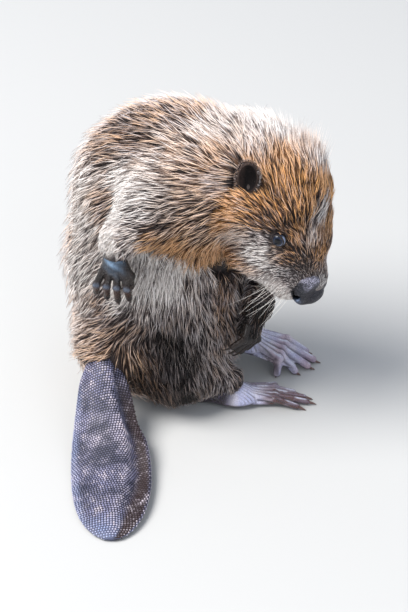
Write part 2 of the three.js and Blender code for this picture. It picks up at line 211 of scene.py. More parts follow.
trunk_forms = [
    ball((5, 3, 46), (50, 53, 50)),  # pelvis and rump
    ball((7, -4, 90), (56, 61, 54)),  # belly
    ball((8, -28, 48), (42, 38, 42)),  # lap
    rod((6, 12, 96), 46, (5, 4, 148), 48, 18),  # back
    ball((4, -10, 155), (53, 55, 57)),  # chest and shoulders
    rod((2, -24, 162), 49, (-4, -60, 172), 42, 18),  # nape
]
head_forms = [
    head_ball(71, 0, 15, (35, 39, 36)),  # cranium
    head_ball(44, 0, 9, (28, 29, 25)),  # forehead and bridge
    head_ball(20, 0, 0, (21, 18, 15)),  # muzzle
    head_ball(31, 0, -17, (18, 11, 9)),  # lower jaw
    *(head_ball(22, 12 * s, -7, (17, 13, 12)) for s in (1, -1)),  # whisker pads
    *(head_ball(52, 19 * s, -8, (29, 18, 22)) for s in (1, -1)),  # cheeks
]
limb_forms = [
    rod((-24, -34, 160), 30, (-46, -6, 160), 18),
    rod((-46, -6, 160), 17, hands["right"].origin, 8),
    rod((32, -42, 142), 27, (34, -60, 98), 15),
    rod((34, -60, 98), 13, hands["left"].origin, 7),
    rod((-24, 20, 46), 30, (-30, -22, 30), 24),
    rod((38, 18, 46), 32, (46, -30, 32), 25),
    rod((-30, -22, 30), 20, feet["right"].at(44, 0, 17), 11),
    rod((46, -30, 32), 20, feet["left"].at(44, 0, 16), 11),
]
sleeve_forms = [
    rod(hands["right"].at(-10), 9, hands["right"].at(-3), 8),  # fur over the wrists
    rod(hands["left"].at(-6), 9, hands["left"].at(19), 8),
]
coat_field = field_of(trunk_forms + head_forms + limb_forms + sleeve_forms)


# ---------------------------------------------------------------- the coat, place by place

# Each place of the coat: where it is, how far it reaches, the way its hair lies, the hair's length and
# width, the coat's depth over the skin, hairs for each square millimetre, and how warm, pale, dark and wet
# its colour is (0 to 1, and further where neighbours would water it down). Between places all of these
# blend. The last word names the piece that the hair goes into.

# On the head: back from the nose tip, to the side and up; those well off the middle are on both sides.
HEAD_PLACES = [
    # the muzzle, from the nose pad back
    (6, 4, 10, 6, (-0.8, -0.3, 0.6), 2, 0.2, 0.5, 7, 0, 1, 0.1, 0.1, "face"),
    (13, 11, 11, 7, (-0.9, 0.1, 0.5), 2.2, 0.2, 0.6, 7, 0.4, 0.55, 0.6, 0.1, "face"),
    (14, 2, 15, 7, (-0.8, -0.1, 0.6), 5, 0.24, 0.8, 6, 0.8, 0.2, 0.45, 0.1, "face"),
    (23, 15, 18, 7, (-0.7, 0.5, 0.6), 4, 0.24, 0.9, 6, 0.5, 0.15, 1.15, 0.1, "face"),
    (29, 21, 17, 6, (-0.8, 0.5, 0.2), 4, 0.25, 1, 5.5, 0.85, 0.1, 1.3, 0, "face"),
    (18, 17, 7, 6, (-0.8, 0.5, -0.1), 2.2, 0.22, 0.7, 6.5, 0.05, 0.35, 0.5, 0, "face"),
    # the bridge of the nose, up to the eyes
    (33, 14, 27, 7, (-0.9, 0.3, 0.3), 9, 0.3, 2, 4, 0.95, 0.2, 0.5, 0, "face"),
    (30, 5, 28, 7, (-0.9, 0, 0.5), 10, 0.3, 2, 4, 0.75, 0.25, 0.4, 0, "face"),
    (40, 20, 26, 6, (-0.9, 0.4, 0.1), 7, 0.27, 1.2, 4.5, 0.85, 0.1, 1, 0, "face"),
    (38, 2, 34, 5, (-0.7, -0.6, 0.4), 12, 0.34, 3, 3.9, 0.2, 0.95, 0.6, 0, "crown"),
    # the forehead, and round the eye
    (56, -9, 41, 8, (-0.8, -0.5, 0.3), 12, 0.34, 3.2, 3.6, 0.9, 0.25, 0.45, 0, "crown"),
    (59, 6, 45, 8, (-0.8, -0.5, 0.4), 13, 0.36, 4, 3.4, 0.95, 0.12, 0.5, 0, "crown"),
    (53, 14, 39, 9, (-0.8, 0.1, 0.6), 12, 0.34, 3.4, 3.9, 1, 0.15, 0.6, 0, "crown"),
    (70, 19, 42, 10, (-0.9, -0.3, 0.2), 13, 0.36, 4.2, 3.4, 1, 0.15, 0.5, 0, "crown"),
    (56, 25, 35, 7, (-0.9, 0.3, 0.4), 10, 0.3, 2.2, 4.8, 0.9, 0.1, 0.95, 0, "crown"),
    (58, 30, 30, 6, (-0.9, 0.4, 0.1), 8, 0.28, 1.8, 5.3, 0.8, 0.05, 1.25, 0, "crown"),
    (62, 34, 24, 7, (-0.9, 0.5, -0.2), 9, 0.3, 2.6, 4.5, 0.8, 0.1, 0.8, 0, "cheeks"),
    (72, 31, 33, 8, (-1, 0.1, 0), 10, 0.32, 3.2, 3.9, 1, 0.15, 0.4, 0, "crown"),
    (82, 24, 39, 9, (-1, -0.2, 0.1), 13, 0.36, 4.2, 3.4, 0.95, 0.35, 0.2, 0, "crown"),
    # the crown, with its pale patch towards the left: pale hair that is partly a painted highlight where the
    # light falls on the top of the head
    (90, -13, 41, 11, (-0.6, -0.7, 0.5), 19, 0.34, 6.5, 2.5, 0, 1.3, -0.45, 0, "crown"),
    (99, 17, 38, 12, (-1, -0.3, -0.1), 15, 0.45, 6.5, 2.4, 0.4, 0.6, 0, 0, "crown"),
    (76, -17, 42, 11, (-0.7, -0.6, 0.5), 22, 0.34, 6, 3.4, 0.05, 1.3, -0.5, 0, "crown"),
    (88, -1, 46, 7, (-0.9, -0.4, 0.1), 14, 0.4, 5.8, 2.8, 0.35, 0.9, -0.25, 0, "crown"),
    (107, 7, 42, 10, (-0.8, -0.5, 0.3), 17, 0.36, 6.5, 2.4, 0.15, 1.2, -0.35, 0, "crown"),
    (80, 11, 44, 10, (-0.9, -0.4, 0.1), 14, 0.4, 5.5, 2.8, 0.95, 0.3, 0.3, 0, "crown"),
    # under the eye
    (56, 34, 5, 8, (-0.6, 0.4, -0.8), 10, 0.34, 3.2, 3.9, 0.6, 0.6, 0.2, 0, "cheeks"),
    (41, 29, 7, 8, (-0.5, 0.4, -0.8), 7, 0.32, 2.6, 4.2, 0.15, 1.1, 0.2, 0, "cheeks"),
    (34, 25, 15, 6, (-0.3, 0.5, -0.8), 5, 0.26, 1.2, 5, 0.5, 0.5, 0.7, 0, "face"),
    (48, 30, 14, 5, (-0.7, 0.4, -0.6), 4.5, 0.28, 1.6, 4.2, 0.1, 0.5, 0.6, 0, "face"),
    # the whisker pads
    (26, 27, -8, 7, (0.1, -0.1, -1), 7, 0.28, 1.8, 4.2, 0.05, 1.1, -0.3, 0, "face"),
    (15, 23, -5, 7, (0.3, 0.1, -0.9), 4.5, 0.25, 1.2, 5.5, 0, 1.1, -0.3, 0, "face"),
    (25, 21, 7, 6, (-0.3, 0.6, -0.7), 3.2, 0.25, 1.1, 5.5, 0.05, 0.75, 0.25, 0, "face"),
    # the cheeks, forwards and then back towards the ear
    (50, 37, -8, 9, (-0.2, 0.1, -1), 15, 0.38, 4.6, 3.1, 0.95, 0.3, 0.2, 0, "cheeks"),
    (41, 35, -6, 8, (-0.3, 0.3, -0.9), 15, 0.36, 4.4, 3.4, 0.95, 0.3, 0.1, 0, "cheeks"),
    (33, 31, -5, 7, (-0.3, 0.3, -0.9), 12, 0.36, 4.6, 3.4, 0.75, 0.45, 0.1, 0, "cheeks"),
    (46, 31, -13, 8, (0.1, -0.2, -1), 19, 0.38, 5.5, 3.1, 1.05, 0.25, 0.2, 0, "cheeks"),
    (75, 39, 22, 8, (-0.8, 0.5, -0.4), 9, 0.34, 3.6, 3.6, 0.95, 0.25, 0.05, 0, "cheeks"),
    (68, 40, 10, 8, (-0.6, 0.7, -0.4), 10, 0.36, 4.2, 3.4, 1, 0.3, 0.05, 0, "cheeks"),
    (91, 41, 22, 9, (-0.4, 0.5, -0.7), 14, 0.38, 5.2, 2.9, 0.5, 0.35, 0.4, 0, "cheeks"),
    (104, 36, 25, 10, (-0.8, 0.1, -0.6), 13, 0.42, 6.2, 2.5, 0.8, 0.45, 0.25, 0, "crown"),
    # the chin and the throat
    (20, 0, -24, 12, (-1, 0, -0.1), 4, 0.35, 1.6, 3, 0.5, 0.4, 0.4, 0.2, "face"),
    (48, 0, -28, 16, (-1, 0, -0.3), 9, 0.42, 4.5, 2.2, 0.9, 0.3, 0.2, 0.3, "neck"),
    (12, 0, -14, 7, (-0.8, 0, -0.6), 2.2, 0.25, 0.8, 5, 0, 0.6, 0.3, 0.3, "face"),
    # the pale streak up the middle of the face, and the brown beside it
    (30, 8, 29, 5, (-0.7, -0.5, 0.4), 8, 0.32, 2.6, 4.5, 0.1, 1.1, 0.35, 0, "crown"),
    (68, -3, 46, 6, (-0.8, -0.5, 0.3), 15, 0.36, 4.5, 3.6, 0.9, 0.5, 0.25, 0, "crown"),
    (45, -5, 38, 3.5, (-0.7, -0.6, 0.4), 12, 0.34, 3, 3.9, 0.2, 0.95, 0.6, 0, "crown"),
    (21, 4, 20, 6, (-0.8, -0.1, 0.6), 6, 0.26, 1.3, 5, 0.9, 0.15, 0.35, 0, "face"),
    (66, -18, 42, 9, (-0.6, -0.7, 0.5), 18, 0.34, 6, 3.4, 0.1, 1.2, -0.3, 0, "crown"),
]
# Along the crease under the right arm, dark hair is a painted shadow.
BELLY_CREASE_SHADE = ((-27, -52, 93), (-33, -43, 104), (-39, -33, 114), (-46, -18, 124), (-47, -4, 123))
# On the body, in the model's own axes.
BODY_PLACES = [
    # the right shoulder
    (-45, -45, 171, 12, (-0.3, 1, -0.1), 14, 0.42, 6.5, 2.4, 0.87, 0.5, 0.85, 0, "arms"),
    (-46, -45, 158, 11, (-0.3, 0.9, -0.3), 13, 0.4, 6, 2.5, 0.97, 0.45, 0.85, 0, "arms"),
    (-38, -38, 186, 13, (0, 1, 0.1), 14, 0.45, 7, 2.1, 0.67, 0.5, 0.35, 0, "arms"),
    # the nape and the back
    (-27, -33, 197, 14, (0.2, 1, 0.2), 15, 0.48, 7.5, 2, 0.57, 0.6, 0.2, 0, "back"),
    (-18, -54, 204, 13, (0.4, 0.9, 0.2), 15, 0.48, 7.5, 2, 0.35, 0.7, 0.15, 0, "neck"),
    (-2, -31, 208, 15, (0.4, 0.9, 0.1), 16, 0.5, 8, 1.8, 0.57, 0.25, 0.8, 0, "back"),
    (-9, -9, 206, 15, (0.4, 0.9, 0), 16, 0.5, 8.5, 1.7, 0.57, 0.25, 0.8, 0, "back"),
    (-18, 13, 195, 15, (0.2, 0.9, -0.4), 17, 0.5, 8.5, 1.7, 0.57, 0.25, 0.8, 0, "back"),
    (-26, -9, 198, 14, (0, 1, -0.1), 16, 0.48, 8, 1.8, 0.57, 0.25, 0.8, 0, "back"),
    (-26, 26, 176, 15, (0.2, 0.7, -0.6), 17, 0.5, 8.5, 1.7, 0.57, 0.95, 0.27, 0, "back"),
    # the right flank
    (-39, 14, 168, 12, (0.2, 0.7, -0.7), 16, 0.45, 8, 2, 0.52, 0.3, 0.7, 0, "flanks"),
    (-27, 34, 146, 15, (0.5, 0.4, -0.7), 17, 0.5, 8.5, 1.7, 0.57, 0.95, 0.42, 0, "flanks"),
    (-33, 27, 132, 12, (0.3, 0.4, -0.8), 15, 0.45, 7.5, 2, 0.37, 0.7, 0.62, 0, "flanks"),
    (-26, 41, 106, 14, (0.2, 0.4, -0.9), 16, 0.48, 8, 1.7, 0.37, 0.95, 0.52, 0, "flanks"),
    # the pale line down the right arm's rear edge: pale hair that is partly a painted highlight along the lit
    # ridge of the arm
    (-39, 0, 184, 10, (-0.1, 0.9, -0.5), 12, 0.42, 5.5, 2.7, 0.27, 1.3, -0.3, 0, "arms"),
    (-52, 5, 173, 9, (0, 0.8, -0.6), 10, 0.4, 4.5, 2.9, 0.27, 1.3, -0.5, 0, "arms"),
    (-57, 8, 160, 8, (0.3, 0.5, -0.8), 9, 0.38, 3.5, 3.2, 0.42, 1.3, -0.5, 0, "arms"),
    (-58, 11, 149, 6, (0.1, 0.3, -0.9), 7, 0.34, 2.4, 3.9, 0.57, 1.3, -0.5, 0, "arms"),
    # the right arm
    (-36, -20, 189, 12, (0, 1, 0.1), 14, 0.44, 7, 2.2, 0.42, 0.8, 0.15, 0, "arms"),
    (-51, -12, 175, 10, (-0.3, 0.9, -0.1), 13, 0.42, 6, 2.5, 0.27, 1.05, 0.45, 0, "arms"),
    (-46, -29, 177, 10, (-0.2, 1, -0.1), 14, 0.42, 6.2, 2.5, 0.52, 0.75, 0.95, 0, "arms"),
    (-51, -29, 166, 9, (-0.4, 0.9, -0.2), 13, 0.4, 5.8, 2.7, 0.77, 0.6, 1.05, 0, "arms"),
    (-60, -12, 166, 9, (-0.4, 0.9, -0.1), 12, 0.4, 5.2, 2.7, 0.32, 0.85, 0.8, 0, "arms"),
    (-48, -36, 151, 9, (-0.1, 0.8, -0.6), 13, 0.4, 5.8, 2.7, 1.22, 0.3, 0.45, 0, "arms"),
    (-57, -20, 155, 8, (-0.3, 0.9, -0.2), 11, 0.38, 4.6, 2.9, 0.87, 0.2, 0.8, 0, "arms"),
    (-62, -5, 155, 8, (0, 0.9, -0.3), 9, 0.36, 3.6, 3.2, 0.37, 0.6, 0.4, 0, "arms"),
    (-38, -46, 138, 8, (0.3, 0.6, -0.7), 14, 0.38, 5.8, 2.8, 1.22, 0.35, 0.3, 0, "arms"),
    # the belly's right side, pale above, its pale hair partly painted light against the shade under the arm,
    # and wet and dark below, partly wet fur and partly painted shade in the fold by the thigh
    (-43, -2, 115, 10, (-0.1, 0.2, -1), 14, 0.38, 5, 2.7, 0.1, 1.3, -0.1, 0, "belly"),
    (-40, -18, 114, 11, (0, 0, -1), 14, 0.38, 5, 2.7, 0.1, 1.3, -0.1, 0, "belly"),
    (-36, -33, 103, 10, (-0.2, -0.1, -1), 13, 0.38, 4.6, 2.7, 0.15, 0.55, 0.4, 0, "belly"),
    (-33, -42, 89, 10, (0.1, -0.1, -1), 13, 0.38, 4.4, 2.7, 0.1, 0.3, 0.85, 0.1, "belly"),
    (-45, -10, 97, 9, (-0.1, 0.1, -1), 13, 0.38, 4.4, 2.7, 0.25, 0.6, 0.55, 0.1, "belly"),
    (-42, -23, 88, 10, (0, 0, -1), 13, 0.38, 4.4, 2.5, 0.25, 0.35, 0.8, 0.3, "belly"),
    (-41, -17, 69, 9, (0.1, -0.1, -1), 12, 0.4, 4.4, 2.4, 0.1, 0.3, 1.65, 1, "belly"),
    (-40, -28, 54, 9, (-0.3, -0.2, -0.9), 12, 0.4, 4.2, 2.4, 0.05, 0.25, 1.65, 1, "belly"),
    (-48, -23, 43, 9, (-0.4, -0.3, -0.9), 12, 0.4, 4.2, 2.2, 0.1, 0.1, 1.65, 1, "belly"),
    (-32, -41, 61, 9, (0, -0.1, -1), 12, 0.36, 4, 2.7, 0.1, 0.3, 0.85, 0.4, "belly"),
    (-26, -49, 53, 9, (0, 0, -1), 10, 0.34, 3.6, 2.9, 0.15, 0.2, 0.75, 0.1, "belly"),
    (-26, -53, 27, 8, (-0.4, -0.1, -0.9), 9, 0.34, 3.2, 2.9, 0.15, 0.2, 0.75, 0.2, "belly"),
    (-43, -40, 35, 9, (-0.1, -0.2, -1), 10, 0.36, 3.6, 2.7, 0.1, 0.2, 0.95, 0.5, "belly"),
    (-20, -53, 71, 8, (-0.1, 0, -1), 9, 0.36, 4, 2.8, 0.35, 0.1, 0.8, 0.2, "belly"),
    (-23, -51, 93, 8, (-0.3, 0.2, -0.9), 10, 0.36, 4.2, 2.8, 0.45, 0.05, 0.95, 0.2, "belly"),
    # the crease under the arm: dark hair as a painted shadow
    *((*at, 5, (-0.05, 0, -1), 8, 0.36, 3.4, 2.8, 0.35, 0, 1, 0.3, "belly") for at in BELLY_CREASE_SHADE),
    # the right thigh
    (-43, 15, 80, 9, (0.2, 0.7, -0.6), 12, 0.38, 4.6, 2.7, 0.57, 0.3, 0.9, 0.3, "thighs"),
    (-45, 0, 77, 9, (0.1, 0.6, -0.8), 12, 0.38, 4.6, 2.7, 0.52, 0.3, 1, 0.3, "thighs"),
    (-46, 8, 91, 7, (0.1, 0.8, -0.5), 12, 0.36, 4.2, 2.8, 0.27, 0.75, 0.5, 0.1, "thighs"),
    (-43, 28, 63, 10, (0, 0.8, -0.6), 12, 0.42, 5.6, 2.4, 0.72, 0.5, 0.55, 0.1, "thighs"),
    (-47, 18, 56, 8, (-0.2, 0.9, -0.5), 15, 0.4, 5.6, 2.5, 0.97, 0.45, 0.55, 0.2, "thighs"),
    (-46, 5, 58, 7, (-0.2, -0.4, -0.9), 14, 0.4, 5.2, 2.5, 0.97, 0.45, 0.65, 0.3, "thighs"),
    # wet and dark towards the belly: wet fur, and partly painted shade in the fold between thigh and belly
    (-45, -7, 57, 8, (-0.1, -0.5, -0.8), 10, 0.4, 5, 2.5, 0.57, 0.15, 1.6, 0.7, "thighs"),
    (-49, -7, 41, 8, (-0.1, -0.5, -0.9), 10, 0.4, 5, 2.5, 0.82, 0.2, 1.65, 0.75, "thighs"),
    (-51, -17, 30, 8, (0, -0.3, -1), 9, 0.38, 4.4, 2.5, 0.72, 0.2, 1.65, 0.85, "thighs"),
    (-49, -34, 26, 8, (0.2, -0.1, -1), 6, 0.34, 3, 2.9, 0.32, 0.1, 1.65, 1, "thighs"),
    # between the thigh and the back
    (-41, 22, 92, 8, (0.2, 0.5, -0.9), 11, 0.4, 5.4, 2.5, 0.57, 0.35, 0.75, 0.1, "flanks"),
    (-33, 35, 91, 11, (0.3, 0.4, -0.9), 14, 0.44, 7.2, 2.1, 0.52, 0.75, 0.37, 0, "flanks"),
    (-30, 42, 59, 11, (0.4, 0.5, -0.8), 14, 0.44, 7.2, 2.1, 0.62, 0.7, 0.32, 0, "flanks"),
    (-41, 38, 47, 9, (0.5, 0.5, -0.7), 18, 0.42, 6.4, 2.2, 0.82, 0.6, 0.32, 0.1, "flanks"),
    # the back from the shoulders down, the rump and the underside
    (28, -14, 203, 24, (0.2, 1, -0.2), 16, 0.6, 8.5, 0.9, 0.3, 0.5, 0.3, 0, "back"),
    (4, 48, 172, 26, (0, 0.4, -1), 18, 0.62, 9, 0.85, 0.3, 0.5, 0.3, 0, "back"),
    (8, 60, 105, 28, (0, 0.1, -1), 18, 0.62, 9, 0.85, 0.35, 0.4, 0.3, 0, "back"),
    (8, 54, 45, 24, (-0.1, -0.1, -1), 16, 0.62, 8, 0.85, 0.5, 0.3, 0.3, 0.1, "back"),
    (8, 20, 3, 24, (-0.3, -0.3, -0.2), 7, 0.6, 3, 0.5, 0.3, 0.1, 0.6, 0.3, "back"),
    # the belly's front
    (12, -66, 100, 18, (0, 0, -1), 11, 0.5, 5.5, 1.1, 0.15, 0.3, 0.4, 0.1, "belly"),
    (12, -66, 55, 18, (0, 0.1, -1), 10, 0.5, 5, 1.1, 0.1, 0.25, 0.5, 0.3, "belly"),
    (8, -52, 14, 14, (0, 0.6, -0.8), 7, 0.5, 3, 0.8, 0.1, 0.1, 0.7, 0.7, "belly"),
    # the left arm and the left flank
    (50, -40, 168, 22, (0.2, 0.8, -0.6), 15, 0.58, 7.5, 0.95, 0.5, 0.5, 0.3, 0, "left"),
    (54, -60, 130, 18, (0.1, 0.3, -1), 12, 0.52, 5.5, 1.1, 0.5, 0.4, 0.4, 0.1, "left"),
    (42, -76, 98, 12, (-0.4, -0.3, -0.9), 9, 0.45, 3.5, 1.3, 0.4, 0.1, 0.8, 0.5, "left"),
    (14, -84, 86, 9, (-0.9, -0.2, -0.5), 7, 0.42, 2.2, 1.7, 0.4, 0, 1.4, 1.2, "left"),
    (-9, -76, 74, 8, (-0.4, 0.3, -1), 6, 0.4, 2, 2, 0.35, 0, 1.4, 1.2, "left"),
    (-17, -70, 60, 6, (-0.4, 0.3, -1), 4.5, 0.36, 1.2, 2.2, 0.3, 0, 1.4, 1.2, "left"),
    (58, 10, 140, 24, (0.1, 0.5, -1), 16, 0.6, 8.5, 0.85, 0.4, 0.45, 0.3, 0, "left"),
    (62, 12, 95, 24, (0, 0.2, -1), 17, 0.6, 8.5, 0.85, 0.4, 0.35, 0.3, 0, "left"),
    # the left thigh, and the fur beside the tail
    (68, 4, 48, 22, (0.1, 0, -1), 14, 0.56, 7, 0.95, 0.5, 0.25, 0.4, 0.1, "thighs"),
    (62, -45, 36, 16, (0, -0.4, -1), 11, 0.5, 5, 1.1, 0.4, 0.15, 0.5, 0.4, "thighs"),
    (34, -66, 26, 9, (0, -0.9, -0.5), 5, 0.4, 1.5, 1.8, 0.2, 0.1, 0.6, 0.6, "thighs"),
    (-44, 26, 26, 10, (-0.7, 0.4, -0.6), 17, 0.44, 5, 2.1, 0.82, 0.55, 0.45, 0.1, "thighs"),
    # the right wrist, and the right ankle's front
    (-56, 10, 140, 6, (-0.1, 0.2, -1), 6, 0.32, 1.8, 4.2, 0.52, 0.5, 0.4, 0.2, "arms"),
    (-57, 11, 131, 5, (-0.1, 0.2, -1), 4.5, 0.3, 1.2, 4.2, 0.22, 0.2, 0.8, 0.5, "arms"),
    (-17, -66, 14, 7, (0.1, -1, -0.3), 3.2, 0.34, 1, 3.4, 0.32, 0.2, 0.8, 0.8, "thighs"),
]

# Hair that stands up off the coat: where, how far that reaches and by how much its tips rise.
STANDING = [
    (on_head(88, -18, 42), 14, 2.6),
    (on_head(73, -17, 44), 11, 4.2),
    (on_head(58, -14, 42), 7, 0.6),
    (on_head(40, -20, 28), 8, 1.6),
    (on_head(108, 4, 42), 14, 1.0),
    (on_head(42, 32, -12), 9, 1.6),
    ((-14, -62, 205), 14, 0.5),
    ((-44, 30, 50), 12, 0.7),
]


def coat_places():
    """Every row as its place, its reach, its lie, and the rest of it."""
    rows = [(np.array(row[:3], float), row[3], row[4], row[5:]) for row in BODY_PLACES]
    for back, side, up, reach, lie, *rest in HEAD_PLACES:
        for s in (1, -1) if side > 8 else (1,):
            rows.append((on_head(back, side * s, up), reach, head.way(lie[0], lie[1] * s, lie[2]), rest))
    return rows


PIECES = ["face", "crown", "cheeks", "neck", "arms", "left", "back", "flanks", "belly", "thighs"]
centres, reaches, lies, rests = zip(*coat_places())
place_centre = np.array(centres)
place_reach = np.array(reaches)
place_lie = unit(np.array(lies))
place_values = np.array([rest[:-1] for rest in rests], float)
place_piece = np.array([PIECES.index(rest[-1]) for rest in rests])
NAMES = ("length", "width", "depth", "crowd", "warm", "pale", "dark", "wet")
VALUES = {name: i for i, name in enumerate(NAMES)}


def place_weights(points):
    """How much each place counts at each point, adding up to 1."""
    gap = (points**2).sum(1)[:, None] + (place_centre**2).sum(1) - 2 * points @ place_centre.T
    gap = gap / place_reach**2
    weights = np.exp(-(gap - gap.min(1, keepdims=True)) * 1.8)
    return weights / weights.sum(1, keepdims=True)


POINTS_AT_ONCE = 100000


def coat_depth(points):
    out = np.zeros(len(points))
    for start in range(0, len(points), POINTS_AT_ONCE):
        part = slice(start, start + POINTS_AT_ONCE)
        out[part] = place_weights(points[part]) @ place_values[:, VALUES["depth"]]
    return out


def on_nose(back, side, up):
    """A place in the head's axes, with its side measured from the middle of the nose pad."""
    return on_head(back, NOSE_SIDE + side, up)


def nostrils(wider=0.0):
    """The canals that run in from the pad's sides, each with a slit that curls up and back."""
    canals = []
    for s in (1, -1):
        mouth, end = on_nose(5.0, 15.5 * s, 0.8), on_nose(6.5, 8.5 * s, -3.0)
        canals.append(rod(mouth, 2.7 + wider, end, 2.0 + wider, 0.8))
        slit, curl = on_nose(5.8, 15.0 * s, 0.8), on_nose(9.6, 16.4 * s, 2.6)
        canals.append(rod(slit, 1.3 + wider, curl, 0.8 + wider, 0.8))
    return canals


# Further than this from the coat's surface the exact depth doesn't matter, and the usual one will do.
DEPTH_COUNTS_WITHIN, USUAL_DEPTH = 16, 5


def skin_field(points):
    """The skin lies inside the coat's outer surface by the coat's depth."""
    d = coat_field(points)
    near = np.abs(d) < DEPTH_COUNTS_WITHIN
    d[near] += coat_depth(points[near])
    d[~near] += USUAL_DEPTH
    return np.maximum(d, -field_of(nostrils(0.9))(points))


# ---------------------------------------------------------------- from a field to a mesh


class Grid:
    """A field's values on a regular grid, read in between and along with their slope."""

    def __init__(self, field, low, high, cell):
        self.low, self.cell = np.array(low, float), float(cell)
        self.count = np.ceil((np.array(high, float) - self.low) / cell).astype(int) + 1
        lines = [self.low[i] + cell * np.arange(self.count[i]) for i in range(3)]
        points = np.stack(np.meshgrid(*lines, indexing="ij"), -1).reshape(-1, 3)
        self.value = field(points).reshape(self.count)
        for axis in range(3):
            edge = [slice(None)] * 3
            for end in (0, -1):
                edge[axis] = end
                self.value[tuple(edge)] = np.maximum(self.value[tuple(edge)], cell)

    def read(self, points):
        """The value and the unit slope at each point."""
        p = np.clip((points - self.low) / self.cell, 0.001, self.count - 1.001)
        i = p.astype(int)
        f = p - i
        corner = {}
        for a in (0, 1):
            for b in (0, 1):
                for c in (0, 1):
                    corner[a, b, c] = self.value[i[:, 0] + a, i[:, 1] + b, i[:, 2] + c]
        wx, wy, wz = ((1 - f[:, k], f[:, k]) for k in range(3))
        value = sum(corner[a, b, c] * wx[a] * wy[b] * wz[c] for a, b, c in corner)
        slope = np.stack(
            [
                sum((1 if a else -1) * v * wy[b] * wz[c] for (a, b, c), v in corner.items()),
                sum((1 if b else -1) * v * wx[a] * wz[c] for (a, b, c), v in corner.items()),
                sum((1 if c else -1) * v * wx[a] * wy[b] for (a, b, c), v in corner.items()),
            ],
            -1,
        )
        return value, unit(slope)

    def at_corner(self, array, corner):
        """The array's value at this corner of every cell."""
        return array[tuple(slice(k, n - 1 + k) for k, n in zip(corner, self.count))]

    def crossings(self):
        """The cells that the surface crosses, and in each the middle of its crossings with the edges."""
        corners = [(a, b, c) for a in (0, 1) for b in (0, 1) for c in (0, 1)]
        total = sum(self.at_corner(self.value < 0, c).astype(np.int8) for c in corners)
        crossed = np.nonzero((total > 0) & (total < 8))
        values = {c: self.at_corner(self.value, c)[crossed] for c in corners}
        point = np.zeros((len(crossed[0]), 3))
        hits = np.zeros(len(crossed[0]))
        for c in corners:
            for axis in range(3):
                if c[axis]:
                    continue
                d = tuple(1 if k == axis else c[k] for k in range(3))
                va, vb = values[c], values[d]
                hit = (va < 0) != (vb < 0)
                t = np.where(hit, va / np.where(hit, va - vb, 1), 0)
                where = np.array(c, float) + t[:, None] * (np.array(d) - np.array(c))
                point += where * hit[:, None]
                hits += hit
        return crossed, self.low + (np.stack(crossed, -1) + point / hits[:, None]) * self.cell

    def surface(self):
        """Surface nets: a point in each cell that the surface crosses, a quad on each crossed grid edge."""
        n, inside = self.count, self.value < 0
        crossed, points = self.crossings()
        index = np.full(n - 1, -1)
        index[crossed] = np.arange(len(points))
        quads = []
        for axis in range(3):
            u, w = (axis + 1) % 3, (axis + 2) % 3
            low, high = [slice(None)] * 3, [slice(None)] * 3
            low[axis], high[axis] = slice(0, -1), slice(1, None)
            change = inside[tuple(low)] != inside[tuple(high)]
            ends = np.nonzero(change)
            keep = (ends[u] > 0) & (ends[w] > 0) & (ends[u] < n[u] - 1) & (ends[w] < n[w] - 1)
            at = np.stack([e[keep] for e in ends], -1)
            ring = []
            for du, dw in ((-1, -1), (0, -1), (0, 0), (-1, 0)):
                cell = at.copy()
                cell[:, u] += du
                cell[:, w] += dw
                ring.append(index[cell[:, 0], cell[:, 1], cell[:, 2]])
            ring = np.stack(ring, -1)
            starts_inside = inside[at[:, 0], at[:, 1], at[:, 2]]
            ring[~starts_inside] = ring[~starts_inside][:, ::-1]
            quads.append(ring)
        return points, np.concatenate(quads)


def onto_surface(points, field, cell, passes=2):
    """Points of a surface net moved down the field's own slope onto the surface."""
    start, p, h = points, points.copy(), cell * 0.1
    for _ in range(passes):
        d = field(p)
        slope = np.stack([field(p + h * np.eye(3)[k]) - d for k in range(3)], -1) / h
        p = p - slope * (d / np.maximum((slope**2).sum(1), 0.25))[:, None]
    shift = p - start
    far = np.maximum(np.linalg.norm(shift, axis=1, keepdims=True) / (cell * 0.45), 1)
    return start + shift / far


def field_mesh(field, low, high, cell):
    points, quads = Grid(field, low, high, cell).surface()
    return onto_surface(points, field, cell), quads


def box_in(axes, reach):
    """The low and high corner around a box that reaches so far along, across and above in these axes."""
    corners = np.array([axes.at(a, b, c) for a in reach[0] for b in reach[1] for c in reach[2]])
    return corners.min(0), corners.max(0)


def make_mesh(name, points, faces, **attributes):
    """A mesh object from points in millimetres and faces with equally many corners each."""
    faces = np.asarray(faces, np.int32)
    corners = faces.shape[1]
    mesh = bpy.data.meshes.new(name)
    mesh.vertices.add(len(points))
    mesh.vertices.foreach_set("co", (np.asarray(points) * MM).astype(np.float32).ravel())
    mesh.loops.add(faces.size)
    mesh.loops.foreach_set("vertex_index", faces.ravel())
    mesh.polygons.add(len(faces))
    mesh.polygons.foreach_set("loop_start", np.arange(0, faces.size, corners, dtype=np.int32))
    mesh.update(calc_edges=True)
    for key, values in attributes.items():
        layer = mesh.attributes.new(key, "FLOAT", "POINT")
        layer.data.foreach_set("value", np.asarray(values, np.float32))
    made = bpy.data.objects.new(name, mesh)
    bpy.context.scene.collection.objects.link(made)
    return made


def finish_piece(made, material, slot, *nodes):
    """The piece's one material, its body, and the solids' nodes that it replaces. The slot is not used."""
    made.data.materials.clear()
    made.data.materials.append(material)
    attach(made, "root")
    if nodes:
        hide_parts(*nodes)


# ---------------------------------------------------------------- closed shapes from rings


def closed(points, triangles):
    """The shape with its faces turned outwards."""
    points, triangles = np.asarray(points, float), np.asarray(triangles, int)
    a, b, c = (points[triangles[:, k]] - points.mean(0) for k in range(3))
    volume = np.einsum("ij,ij->", a, np.cross(b, c))
    return points, triangles if volume > 0 else triangles[:, ::-1]


